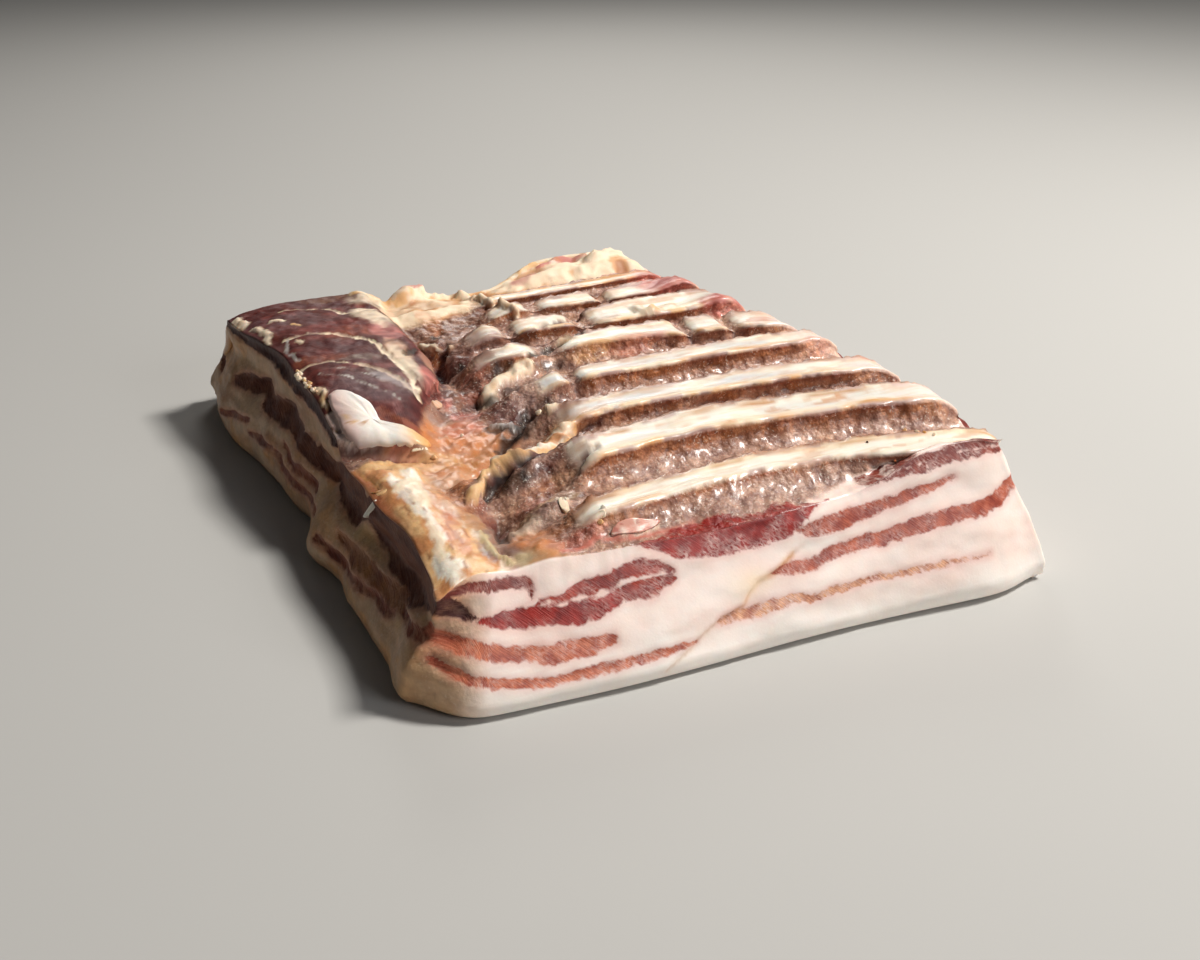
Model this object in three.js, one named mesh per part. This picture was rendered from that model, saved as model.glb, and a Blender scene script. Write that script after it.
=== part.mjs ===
// A slab of cured pork belly, cut square at the front, lying rind down.
// The rib bones are out, so the top is a row of ridges with a channel between each pair. To the left
// a flap of lean lies over the end of the ribs, and in front of it the belly is hollow, with pits.
// One solid. Millimetres: x runs along the front cut, y from the front cut to the back, z up from the rind.
import * as THREE from "three";

// ---- Driving dimensions ----
const DEPTH = 287; // front left corner to back left corner, along the rind
const WIDTH = 227; // along the foot of the front cut
const FLOOR_LEFT = 35; // height of the rib channels at the left edge
const FLOOR_FALL = 0.033; // rise of the channel floors for each millimetre to the right
const MEAT_RED = 0x9c4a42;

// The grid that the top is made on.
const COLUMNS = 44;
const STEPS = [2, 3, 2, 1]; // rows on a ridge: wall, crest, back slope, channel floor
const MOUND_ROWS = 5;

// Ridges, front to back. Each runs left to right: `at` is the y of its middle at x = MIDDLE, `slant` and
// `bow` move it over each REACH of x, and its crest is `wide` at the middle and `flare` more per REACH.
const MIDDLE = 140;
const REACH = 60;
const RIDGES = [
  { at: 22, slant: -4.7, bow: -6.7, wide: 15, flare: 0, from: 54, rise: 9 },
  { at: 64, slant: -3.5, bow: -6.5, wide: 16, flare: 0, from: 70, rise: 10 },
  { at: 96, slant: -2.8, bow: -4.7, wide: 12, flare: 1, from: 80, rise: 9 },
  { at: 128, slant: -1.5, bow: -1.5, wide: 10, flare: 1, from: 86, rise: 9 },
  { at: 165, slant: -6, bow: -5, wide: 13, flare: 4, from: 74, rise: 8 },
  { at: 193, slant: -2, bow: 0, wide: 16, flare: 6, from: 82, rise: 7 },
  { at: 222, slant: -4, bow: 0, wide: 10, flare: 2, from: 102, rise: 5.5 },
  { at: 242, slant: 3, bow: 0, wide: 7, flare: 0, from: 104, rise: 4 },
];
const MOUND = { from: 140, to: 204, at: 262, rise: 6, edge: 34 }; // the far edge, behind the last ridge
const RIDGE_END = 18; // length over which a ridge's left end rises
const LIP = 0.86; // height of a ridge's front lip, as a share of its rise
const SHARE = 0.3; // share of each gap that a wall, and a back slope, takes
const LEFT_REACH = -1.25; // ridges keep their line to the left of this many REACHes

// The lean flap over the left side, and the other forms of the top.
const FLAP = {
  front: 103, // y of its blunt front end
  skew: 0.55, // how far that end turns back, for each millimetre to the left
  back: 268,
  narrow: 43, // its width at the front end, and where it is broadest
  broad: 70,
  step: 6, // height of the front end, and of the flap
  rise: 12.5,
  slope: 36, // length over which it goes from one to the other
  edge: 6, // width of its rounded edges
};
const RIM = { x: 25, half: 9, back: 96, rise: 2.5 }; // the raised rim in front of the flap
// Rounded forms: middle, half sizes and height. A negative height is a pit or a hollow.
const FORMS = [
  { x: 62, y: 110, halfX: 26, halfY: 48, rise: -3.5 }, // the hollow in front of the flap
  { x: 50, y: 46, halfX: 7, halfY: 13, rise: -8 }, // the near pit
  { x: 58, y: 82, halfX: 8, halfY: 7, rise: -6 }, // the pit beside the second ridge
  { x: 75, y: 190, halfX: 5, halfY: 34, rise: -7 }, // the slot along the flap
  { x: 76, y: 140, halfX: 10, halfY: 8, rise: -4 }, // the slot's mouth
  { x: 51, y: 15, halfX: 9, halfY: 8, rise: 2.5 }, // lump at the front edge
  { x: 62, y: 36, halfX: 13, halfY: 5, rise: 4 }, // lobe behind the first ridge
  { x: 66, y: 69, halfX: 15, halfY: 7, rise: 8 }, // lobe at the end of the second ridge
  { x: 45, y: 64, halfX: 4, halfY: 8, rise: 3 }, // knob in front of that pit
  { x: 84, y: 102, halfX: 11, halfY: 5, rise: 6 }, // lump at the end of the third ridge
  { x: 86, y: 130, halfX: 12, halfY: 6, rise: 6 }, // lump at the end of the fourth
  { x: 92, y: 250, halfX: 24, halfY: 12, rise: 4 }, // fat between flap and far ridges
  { x: 86, y: 264, halfX: 7, halfY: 6, rise: 7 }, // knob on the far edge
  { x: 201, y: 216, halfX: 11, halfY: 8, rise: 4 }, // round ends of the far ridges
  { x: 203, y: 186, halfX: 10, halfY: 8, rise: 3 },
];

// Rings of the side, from the rind up: share of the height, and how far the side is drawn in there.
const RINGS = [
  { share: 0, inset: 4.5 },
  { share: 0.035, inset: 1.6 },
  { share: 0.13, inset: 0 },
  { share: 0.3, inset: -0.4 },
  { share: 0.5, inset: 0 },
  { share: 0.7, inset: 0.4 },
  { share: 0.86, inset: 0 },
];
const SWELL = 2.5; // how far the fat bulges on the left side, and the lean above it is drawn in

// ---- Small functions ----
const { lerp, smoothstep } = THREE.MathUtils;
const hump = (t, at, half) => Math.exp(-(((t - at) / half) ** 2));
const plateau = (t, low, high, edge) =>
  smoothstep(t, low - edge / 2, low + edge / 2) * (1 - smoothstep(t, high - edge / 2, high + edge / 2));
const ripple = (a, b) =>
  (Math.sin(0.11 * a + 1.3 * Math.sin(0.07 * b)) + Math.sin(0.17 * b + 1.1 * Math.sin(0.09 * a + 2))) / 2;

// ---- Outlines, in plan: where the rind ends, and where the top ends ----
const rindLeft = (y) =>
  4 - 8 * hump(y, 236, 42) + 3 * hump(y, 133, 12) - 5 * hump(y, 107, 12)
  - 2 * hump(y, 52, 26) - 3 * hump(y, 6, 16);
const rindRight = (y) => WIDTH + 2 * Math.sin(y / 40) - 14 * smoothstep(y, 150, DEPTH);
const rindFront = (x) => -14.5 - 1.5 * Math.sin(x / 26 - 0.9) + 19 * hump(x, -1, 11) + 7 * hump(x, WIDTH, 16);
const rindBack = (x) => DEPTH + 3 * Math.sin(x / 31) - 6 * hump(x, 0, 18) - 9 * hump(x, WIDTH - 16, 20);

const topLeft = (y) => 15 - 9 * smoothstep(y, 190, 262) + 2 * hump(y, 42, 20) - 3 * hump(y, 0, 10);
const topRight = (y) => 215 + 5 * hump(y, 75, 60) - 12 * smoothstep(y, 120, 270) - 6 * hump(y, 0, 12);
const topFront = (x) =>
  5 - 3 * hump(x, 12, 8) + 3 * hump(x, 42, 18) - 2 * hump(x, 118, 26) + 2 * hump(x, 186, 12);
const topBack = (x) => 264 + 16 * plateau(x, 140, 202, 34) + 6 * hump(x, 90, 12) - 3 * hump(x, 10, 14);

// ---- The top ----
const floorHeight = (x) => FLOOR_LEFT + FLOOR_FALL * x;

function ridgeLine(ridge, x) {
  const k = Math.max((x - MIDDLE) / REACH, LEFT_REACH);
  const middle = ridge.at + ridge.slant * k + ridge.bow * k * k;
  const half = Math.max(ridge.wide + ridge.flare * k, 5) / 2;
  return { lip: middle - half, crest: middle + half };
}

// Each row of the top keeps its place on the ridges: y and the ridges' height there, for a given x.
function rowsAt(x) {
  const front = topFront(x);
  const stations = [{ y: front, lift: 0 }];
  RIDGES.forEach((ridge, i) => {
    const { lip, crest } = ridgeLine(ridge, x);
    const next = RIDGES[i + 1] ? ridgeLine(RIDGES[i + 1], x).lip : MOUND.at - 5;
    const gap = next - crest;
    const rise = ridge.rise * smoothstep(x, ridge.from, ridge.from + RIDGE_END);
    stations.push({ y: Math.max(lip, front + 1.5), lift: rise * LIP });
    stations.push({ y: crest, lift: rise });
    stations.push({ y: crest + SHARE * gap, lift: 0 });
    stations.push({ y: next - SHARE * gap, lift: 0 });
  });
  const rows = [];
  stations.slice(0, -1).forEach((a, i) => {
    const b = stations[i + 1];
    const steps = STEPS[i % STEPS.length];
    for (let j = 0; j < steps; j++) {
      const t = j / steps;
      // The front wall is hollow and turns sharply at the lip, the other steps turn softly.
      const eased = i % STEPS.length === 0 ? t * t * (1.6 - 0.6 * t) : t * t * (3 - 2 * t);
      rows.push({ y: lerp(a.y, b.y, t), lift: lerp(a.lift, b.lift, eased) });
    }
  });
  const last = stations.at(-1).y;
  const mound = MOUND.rise * plateau(x, MOUND.from, MOUND.to, MOUND.edge);
  for (let j = 0; j <= MOUND_ROWS; j++) {
    const y = lerp(last, topBack(x), j / MOUND_ROWS);
    rows.push({ y, lift: mound * smoothstep(y, last, MOUND.at) });
  }
  return rows;
}

function formsHeight(x, y) {
  const right = lerp(FLAP.narrow, FLAP.broad, smoothstep(y, FLAP.front, FLAP.front + 75));
  const across = plateau(x, -40, right, FLAP.edge * 2.2);
  const crown = 1 - 0.25 * ((x - right / 2) / 36) ** 2;
  // Its blunt front end stands up a step, and slopes on up to its full height.
  const front = FLAP.front + FLAP.skew * (40 - x);
  const slope = lerp(FLAP.step, FLAP.rise, smoothstep(y, front, front + FLAP.slope));
  const far = 1 - 0.2 * smoothstep(y, 215, 262);
  let z = slope * far * crown * across * plateau(y, front, FLAP.back + 20, FLAP.edge);
  z += RIM.rise * hump(x, RIM.x, RIM.half) * (1 - smoothstep(y, RIM.back - 12, RIM.back + 6));
  for (const f of FORMS) z += f.rise * hump(x, f.x, f.halfX) * hump(y, f.y, f.halfY);
  return z;
}

// The front cut runs up into the first ridge at its right end, so there the edge is as high as the ridge.
const frontEdgeLift = (x, y) =>
  RIDGES[0].rise * smoothstep(x, 148, 188) * (1 - smoothstep(y, topFront(x), topFront(x) + 14));

function topPoints() {
  const grid = [];
  for (let i = 0; i <= COLUMNS; i++) {
    const share = i / COLUMNS;
    const rows = rowsAt(lerp(topLeft(130), topRight(130), share));
    grid.push(
      rows.map((row, j) => {
        const x = lerp(topLeft(row.y), topRight(row.y), share);
        const { y, lift } = rowsAt(x)[j];
        const ridgeEnd = 3.5 * (lift / 9 - 0.4) * smoothstep(share, 0.93, 1);
        const raised = Math.max(lift, frontEdgeLift(x, y)) + formsHeight(x, y) + 0.5 * ripple(x, y);
        const rounded = 1.6 * hump(share, 0, 0.02) + 3 * hump(share, 1, 0.03);
        return new THREE.Vector3(x + ridgeEnd, y, floorHeight(x) + raised - rounded);
      }),
    );
  }
  return grid;
}

// ---- The sides ----
// The edge of the top, once round: each point with the point of the rind's edge below it, the outline
// without the ridges' ends that the side rises to, and the height at which it gets there.
function edgePairs(grid) {
  const rows = grid[0].length;
  const pairs = [];
  const rind = (share, y) => lerp(rindLeft(y), rindRight(y), share);
  const side = (i, share) => {
    const at = grid[i];
    const low = rindFront(rind(share, 0));
    const high = rindBack(rind(share, DEPTH));
    return at.map((p) => {
      const t = (p.y - at[0].y) / (at[rows - 1].y - at[0].y);
      const y = lerp(low, high, t);
      const shoulder = new THREE.Vector2(lerp(topLeft(p.y), topRight(p.y), share), p.y);
      const level = lerp(p.z, floorHeight(p.x) + RIDGES[0].rise / 2, share);
      return { top: p, foot: new THREE.Vector2(rind(share, y), y), shoulder, level };
    });
  };
  const end = (j, outline, y) =>
    grid.map((column, i) => {
      const x = rind(i / COLUMNS, y);
      const top = column[j];
      const foot = new THREE.Vector2(x, outline(x));
      return { top, foot, shoulder: new THREE.Vector2(top.x, top.y), level: top.z };
    });
  pairs.push(...end(0, rindFront, 0).slice(0, -1));
  pairs.push(...side(COLUMNS, 1).slice(0, -1));
  pairs.push(...end(rows - 1, rindBack, DEPTH).reverse().slice(0, -1));
  pairs.push(...side(0, 0).reverse().slice(0, -1));
  return pairs;
}

// The rings stand between the rind and the edge of the top, drawn in or out along the outline's normal.
function sideRings(pairs) {
  const count = pairs.length;
  return RINGS.map(({ share, inset }) =>
    pairs.map(({ top, foot, shoulder, level }, i) => {
      const before = pairs[(i + count - 3) % count].foot;
      const after = pairs[(i + 3) % count].foot;
      const along = new THREE.Vector2().subVectors(after, before).normalize();
      const out = new THREE.Vector2(along.y, -along.x);
      const left = out.x < -0.6 ? 1 : 0;
      // On the left side the fat swells and the lean above it is drawn in.
      const layers = SWELL * (hump(share, 0.3, 0.2) - hump(share, 0.72, 0.12));
      const swell = left * layers * (1 + 0.4 * ripple(top.y * 2, 30));
      const wave = share > 0.1 ? 0.6 * ripple(foot.x + foot.y, 90 * share) : 0;
      const place = new THREE.Vector2().lerpVectors(foot, shoulder, ((share * top.z) / level) ** 1.25);
      place.addScaledVector(out, swell + wave - inset);
      return new THREE.Vector3(place.x, place.y, share * top.z);
    }),
  );
}

// ---- The closed surface ----
function bellyGeometry() {
  const grid = topPoints();
  const rows = grid[0].length;
  const pairs = edgePairs(grid);
  const rings = sideRings(pairs);
  const points = grid.flat();
  const faces = [];
  for (let i = 0; i < COLUMNS; i++) {
    for (let j = 0; j < rows - 1; j++) {
      const a = i * rows + j;
      faces.push(a, a + rows, a + rows + 1, a, a + rows + 1, a + 1);
    }
  }
  const start = points.length;
  const count = pairs.length;
  points.push(...rings.flat());
  const edge = pairs.map(({ top }) => points.indexOf(top));
  const ringPoint = (ring, i) =>
    ring === rings.length ? edge[i % count] : start + ring * count + (i % count);
  for (let ring = 0; ring < rings.length; ring++) {
    for (let i = 0; i < count; i++) {
      const [a, b] = [ringPoint(ring, i), ringPoint(ring, i + 1)];
      const [c, d] = [ringPoint(ring + 1, i + 1), ringPoint(ring + 1, i)];
      faces.push(a, b, c, a, c, d);
    }
  }
  // The rind is flat, and fans out from its middle.
  const hub = points.push(new THREE.Vector3(WIDTH / 2, DEPTH / 2, 0)) - 1;
  for (let i = 0; i < count; i++) faces.push(hub, start + ((i + 1) % count), start + i);

  const geometry = new THREE.BufferGeometry().setFromPoints(points);
  geometry.setIndex(faces);
  geometry.computeVertexNormals();
  return geometry;
}

// ---- The part: the origin is the middle of its box, at the rind ----
const geometry = bellyGeometry();
geometry.computeBoundingBox();
const middle = geometry.boundingBox.getCenter(new THREE.Vector3());
geometry.translate(-middle.x, -middle.y, -geometry.boundingBox.min.z);

const material = new THREE.MeshStandardMaterial({ color: MEAT_RED, roughness: 0.45, metalness: 0 });
const belly = new THREE.Mesh(geometry, material);
belly.name = "pork_belly";

const group = new THREE.Group();
group.add(belly);

export default group;
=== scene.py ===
"""A slab of cured pork belly, lying rind down: the finished surface, its materials, the light and the camera.

The slab's own frame is used until a mesh is built: millimetres, x along the front cut from the left, y from
the front cut to the back, z up from the rind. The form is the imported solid's, on a finer grid, with relief,
the first ridge's lip set back and the ridges' right ends rounded.
"""
import math

import bpy
import numpy as np
from mathutils import Matrix, Vector


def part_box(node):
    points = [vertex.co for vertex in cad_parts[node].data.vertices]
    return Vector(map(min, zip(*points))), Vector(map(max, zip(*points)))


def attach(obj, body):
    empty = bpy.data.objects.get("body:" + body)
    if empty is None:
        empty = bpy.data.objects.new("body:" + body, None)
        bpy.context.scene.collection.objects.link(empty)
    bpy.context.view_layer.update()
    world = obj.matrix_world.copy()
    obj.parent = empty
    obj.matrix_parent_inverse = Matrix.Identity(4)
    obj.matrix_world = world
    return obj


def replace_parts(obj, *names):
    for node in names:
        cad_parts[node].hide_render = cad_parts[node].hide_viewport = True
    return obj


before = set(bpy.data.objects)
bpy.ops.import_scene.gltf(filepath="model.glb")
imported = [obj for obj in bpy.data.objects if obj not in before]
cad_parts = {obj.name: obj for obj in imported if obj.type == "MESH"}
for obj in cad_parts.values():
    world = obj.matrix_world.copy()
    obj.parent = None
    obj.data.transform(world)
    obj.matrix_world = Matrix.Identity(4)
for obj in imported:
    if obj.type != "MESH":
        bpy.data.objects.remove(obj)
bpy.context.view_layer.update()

MM = 0.001  # metres in a millimetre

# ---- Driving dimensions: the solid's, but for the first ridge's `tuck` ----
DEPTH = 287  # front left corner to back left corner, along the rind
WIDTH = 227  # along the foot of the front cut
FLOOR_LEFT = 35  # height of the rib channels at the left edge
FLOOR_FALL = 0.033  # rise of the channel floors for each millimetre to the right

# The grid that the surface is made on.
COLUMNS = 200
STEPS = (9, 8, 5, 7)  # rows on a ridge: wall, crest, back slope, channel floor
MOUND_ROWS = 34
SIDE_RINGS = 34  # above the rounded foot
RIND_RINGS = 4

# Ridges, front to back: `at` is the y of the middle at x = MIDDLE, `slant` and `bow` move it over each REACH.
# `tuck`, which the solid lacks, sets a front lip back by so many mm on the left, and by less from x = 150 on.
MIDDLE = 140
REACH = 60
RIDGES = [
    dict(at=22, slant=-4.7, bow=-6.7, wide=15, flare=0, start=54, rise=9, tuck=5.5),
    dict(at=64, slant=-3.5, bow=-6.5, wide=16, flare=0, start=70, rise=10),
    dict(at=96, slant=-2.8, bow=-4.7, wide=12, flare=1, start=80, rise=9),
    dict(at=128, slant=-1.5, bow=-1.5, wide=10, flare=1, start=86, rise=9),
    dict(at=165, slant=-6, bow=-5, wide=13, flare=4, start=74, rise=8),
    dict(at=193, slant=-2, bow=0, wide=16, flare=6, start=82, rise=7),
    dict(at=222, slant=-4, bow=0, wide=10, flare=2, start=102, rise=5.5),
    dict(at=242, slant=3, bow=0, wide=7, flare=0, start=104, rise=4),
]
MOUND = dict(start=140, stop=204, at=262, rise=6, edge=34)
RIDGE_END = 18  # over which a ridge rises at its left end
LIP = 0.86  # the front lip's height as a share of the ridge's
SHARE = 0.3  # of the gap between two ridges, that each of its slopes takes
LEFT_REACH = -1.25  # in REACHes: the ridges' lines bend no further to the left than this

# The lean flap: the y of its blunt front end and how that slants, the y of its back, its width and height in
# front and behind, and the lengths of the rise between those heights and of its edges.
FLAP = dict(front=103, skew=0.55, back=268, narrow=43, broad=70, step=6, rise=12.5, slope=36, edge=6)
# The rim in front of it: its middle line, half width, far end and height.
RIM = dict(x=25, half=9, back=96, rise=2.5)
# Rounded forms: middle, half sizes and height.
FORMS = [
    (62, 110, 26, 48, -3.5),  # the hollow in front of the flap
    (50, 46, 7, 13, -8),  # the near pit
    (58, 82, 8, 7, -6),  # the pit beside the second ridge
    (75, 190, 5, 34, -7),  # the slot along the flap
    (76, 140, 10, 8, -4),  # the slot's mouth
    (51, 15, 9, 8, 2.5),  # lump at the front edge
    (62, 36, 13, 5, 4),  # lobe behind the first ridge
    (66, 69, 15, 7, 8),  # lobe at the end of the second ridge
    (45, 64, 4, 8, 3),  # knob in front of that pit
    (84, 102, 11, 5, 6),  # lump at the end of the third ridge
    (86, 130, 12, 6, 6),  # lump at the end of the fourth
    (92, 250, 24, 12, 4),  # fat between flap and far ridges
    (86, 264, 7, 6, 7),  # knob on the far edge
    (201, 216, 11, 8, 4),  # round ends of the far ridges
    (203, 186, 10, 8, 3),
]
# How far the side is drawn in, at shares of its height.
INSET_SHARES = (0, 0.035, 0.13, 0.3, 0.5, 0.7, 0.86, 1)
INSETS = (4.5, 1.6, 0, -0.4, 0, 0.4, 0, 0)
SWELL = 2.5  # how far the fat bulges on the left side, and the lean above it is drawn in
FIBRE_SLANT = 38  # degrees that the lean's fibres fall to the right across the cut
FRONT_END = 222  # where the front cut ends, in mm along the side
NO_LEAN = -9.0  # a painted depth well outside any lean

# ---- Colours, sRGB ----
COLOURS = dict(
    fat_pink="#f7e0d5",
    fat_white="#f8f1e8",
    # Aged yellowish tan: the rind's and the left side's own colour, and on the left side also painted shade.
    aged_fat_and_shade="#c59e72",
    fat_golden="#e0a45f",
    fresh="#982420",
    rose="#b25a4b",
    purple="#8f4440",
    # Dried red-brown: dried lean, also used as painted shade under the flap's front end and the ridges' lips.
    dried="#55201a",
    rust="#8f4a32",
    flesh="#dcb293",
    brown="#a2683f",
    lilac="#a98a80",
    amber="#c98b55",
    # Umber: brown tissue, and painted shade on the walls' left parts and between the ridges' ends.
    umber="#7a5340",
    cream="#f7e3c6",
    butter="#ecc08a",
    membrane="#bdb6b2",
    stain="#bf8850",
    mahogany="#703a25",
    burgundy="#4b1b1c",
    # Slate: grey-purple tissue, and on the flap a grey bloom that is partly painted sheen.
    slate="#75606a",
    hollow="#cf8650",
    blush="#cd837a",
    # Near-black: dark specks, and painted shade in pits and between the ridges' ends.
    near_black_and_shade="#2c1d17",
    olive="#cbb88c",
    rind="#d8b98c",
    pale="#d69a87",
    blood="#9c342a",
    plum="#552b2c",
    claret="#843630",
    # Ivory: white fat, and the colour of painted highlights on the rim, the raised strands and the walls'
    # glints.
    ivory="#f6efdf",
    # Bluish grey: on the strips, partly a translucent membrane, partly a painted reflection.
    bluish="#cfd0d2",
    salmon="#c8715e",
    orange="#d9752a",
    paper="#bdbbb7",
    key_light="#fffcf7",
    fill_light="#fbfcff",
    studio="#f2f3f5",
)


def linear(name, alpha=1.0):
    """A colour of the table as linear RGBA."""
    text = COLOURS[name].lstrip("#")
    values = [int(text[i : i + 2], 16) / 255 for i in (0, 2, 4)]
    return [v / 12.92 if v <= 0.04045 else ((v + 0.055) / 1.055) ** 2.4 for v in values] + [alpha]


# ---- Small functions on arrays ----
def lerp(a, b, t):
    """From a at t = 0 to b at t = 1, in a straight line."""
    return a + (b - a) * t


def smoothstep(t, low, high):
    """0 below `low`, 1 above `high`, and an easy slope between."""
    u = np.clip((t - low) / (high - low), 0, 1)
    return u * u * (3 - 2 * u)


def hump(t, at, half):
    """A bell curve: 1 at `at`, and about a third at `half` to each side."""
    return np.exp(-(((t - at) / half) ** 2))


def plateau(t, low, high, edge):
    """1 from `low` to `high` and 0 outside, with slopes `edge` wide."""
    half = edge / 2
    return smoothstep(t, low - half, low + half) * (1 - smoothstep(t, high - half, high + half))


def ripple(a, b):
    """Long uneven waves from -1 to 1, by the solid's own formula."""
    return (np.sin(0.11 * a + 1.3 * np.sin(0.07 * b)) + np.sin(0.17 * b + 1.1 * np.sin(0.09 * a + 2))) / 2


def lattice(i, j, k, seed):
    """A fixed random number from -1 to 1 for each whole-numbered point."""
    n = (i * 374761393 + j * 668265263 + k * 1440662683 + seed * 974711) & 0xFFFFFFFF
    n = ((n ^ (n >> 13)) * 1274126177) & 0xFFFFFFFF
    n = ((n ^ (n >> 15)) * 2246822519) & 0xFFFFFFFF
    return ((n ^ (n >> 16)) & 0xFFFFFF) / 0x7FFFFF - 1


def noise(x, y, z, size, seed):
    """Smooth hills from -1 to 1, `size` apart: the lattice's random numbers, blended between its points."""
    places = [np.asarray(v, float) / size for v in np.broadcast_arrays(x, y, z)]
    cells = [np.floor(v).astype(np.int64) for v in places]
    u, v, w = [(p - c) ** 2 * (3 - 2 * (p - c)) for p, c in zip(places, cells)]
    total = 0
    for a in (0, 1):
        for b in (0, 1):
            for c in (0, 1):
                weight = (u if a else 1 - u) * (v if b else 1 - v) * (w if c else 1 - w)
                total = total + weight * lattice(cells[0] + a, cells[1] + b, cells[2] + c, seed)
    return total


def layered(x, y, z, size, seed, octaves=3):
    """Noise with finer and weaker noise on it, each octave half the size and half the height."""
    total = 0
    for k in range(octaves):
        total = total + noise(x, y, z, size / 2**k, seed + 17 * k) / 2**k
    return total / (2 - 2 ** (1 - octaves))


def grains(x, y, z, size, seed):
    """Round grains with creases between them, from 0 to 1: how far a noise is from 0."""
    return np.minimum(1, 1.8 * np.abs(noise(x, y, z, size, seed)))


def band(x, y, points):
    """How deep a place lies inside a band, in mm: half the band's width less the distance from its line.

    `points` are (x, y, half width), and both the line and the width run straight from one to the next.
    """
    best = np.full(np.shape(x), -1e3)
    for (ax, ay, ah), (bx, by, bh) in zip(points, points[1:]):
        dx, dy = bx - ax, by - ay
        t = np.clip(((x - ax) * dx + (y - ay) * dy) / (dx * dx + dy * dy), 0, 1)
        best = np.maximum(best, lerp(ah, bh, t) - np.hypot(x - ax - t * dx, y - ay - t * dy))
    return best


def beside(x, y, points):
    """Signed distance from a line of (x, y) points: positive to the left of its direction."""
    near, side = np.full(np.shape(x), 1e3), np.zeros(np.shape(x))
    for (ax, ay), (bx, by) in zip(points, points[1:]):
        dx, dy = bx - ax, by - ay
        t = np.clip(((x - ax) * dx + (y - ay) * dy) / (dx * dx + dy * dy), 0, 1)
        away = np.hypot(x - ax - t * dx, y - ay - t * dy)
        cross = dx * (y - ay) - dy * (x - ax)
        side = np.where(away < near, np.sign(cross), side)
        near = np.minimum(near, away)
    return near * side


def oval(x, y, at_x, at_y, half_x, half_y, turn=0):
    """1 in the middle of a soft oval and falling off round it. `turn` is in degrees."""
    c, s = math.cos(math.radians(turn)), math.sin(math.radians(turn))
    u = ((x - at_x) * c + (y - at_y) * s) / half_x
    v = ((y - at_y) * c - (x - at_x) * s) / half_y
    return np.exp(-(u * u + v * v))


def paint(colours, name, amount):
    """Lays a colour of the table over an array of colours."""
    amount = np.clip(amount, 0, 1)[..., None]
    return colours * (1 - amount) + np.array(linear(name)[:3]) * amount


# ---- Outlines, in plan ----
def rind_left(y):
    near = 3 * hump(y, 133, 12) - 5 * hump(y, 107, 12) - 2 * hump(y, 52, 26) - 3 * hump(y, 6, 16)
    return 4 - 8 * hump(y, 236, 42) + near


def rind_right(y):
    return WIDTH + 2 * np.sin(y / 40) - 14 * smoothstep(y, 150, DEPTH)


def rind_front(x):
    return -14.5 - 1.5 * np.sin(x / 26 - 0.9) + 19 * hump(x, -1, 11) + 7 * hump(x, WIDTH, 16)


def rind_back(x):
    return DEPTH + 3 * np.sin(x / 31) - 6 * hump(x, 0, 18) - 9 * hump(x, WIDTH - 16, 20)


def top_left(y):
    return 15 - 9 * smoothstep(y, 190, 262) + 2 * hump(y, 42, 20) - 3 * hump(y, 0, 10)


def top_right(y):
    return 215 + 5 * hump(y, 75, 60) - 12 * smoothstep(y, 120, 270) - 6 * hump(y, 0, 12)


def top_front(x):
    return 5 - 3 * hump(x, 12, 8) + 3 * hump(x, 42, 18) - 2 * hump(x, 118, 26) + 2 * hump(x, 186, 12)


def top_back(x):
    return 264 + 16 * plateau(x, 140, 202, 34) + 6 * hump(x, 90, 12) - 3 * hump(x, 10, 14)


# ---- The top ----
def floor_height(x):
    return FLOOR_LEFT + FLOOR_FALL * x


def ridge_line(ridge, x):
    """y of a ridge's front lip and of its crest's back edge."""
    k = np.maximum((x - MIDDLE) / REACH, LEFT_REACH)
    middle = ridge["at"] + ridge["slant"] * k + ridge["bow"] * k * k
    half = np.maximum(ridge["wide"] + ridge["flare"] * k, 5) / 2
    tuck = ridge.get("tuck", 0) * (1 - smoothstep(x, 150, 185))
    return middle - half + tuck, middle + half


def ridge_presence(ridge, x):
    return smoothstep(x, ridge["start"], ridge["start"] + RIDGE_END)


# Each row of the top keeps its place on the ridges: the stretch that it is in, and how far along it.
STRETCHES = 4 * len(RIDGES)  # before the mound's
RIDGE_ROWS = np.repeat(np.arange(STRETCHES), np.tile(STEPS, len(RIDGES)))
ROW_STRETCH = np.concatenate([RIDGE_ROWS, np.full(MOUND_ROWS + 1, STRETCHES)])
ROW_T = np.concatenate(
    [np.arange(n) / n for n in STEPS * len(RIDGES)] + [np.arange(MOUND_ROWS + 1) / MOUND_ROWS]
)
ROWS = len(ROW_T)


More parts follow.
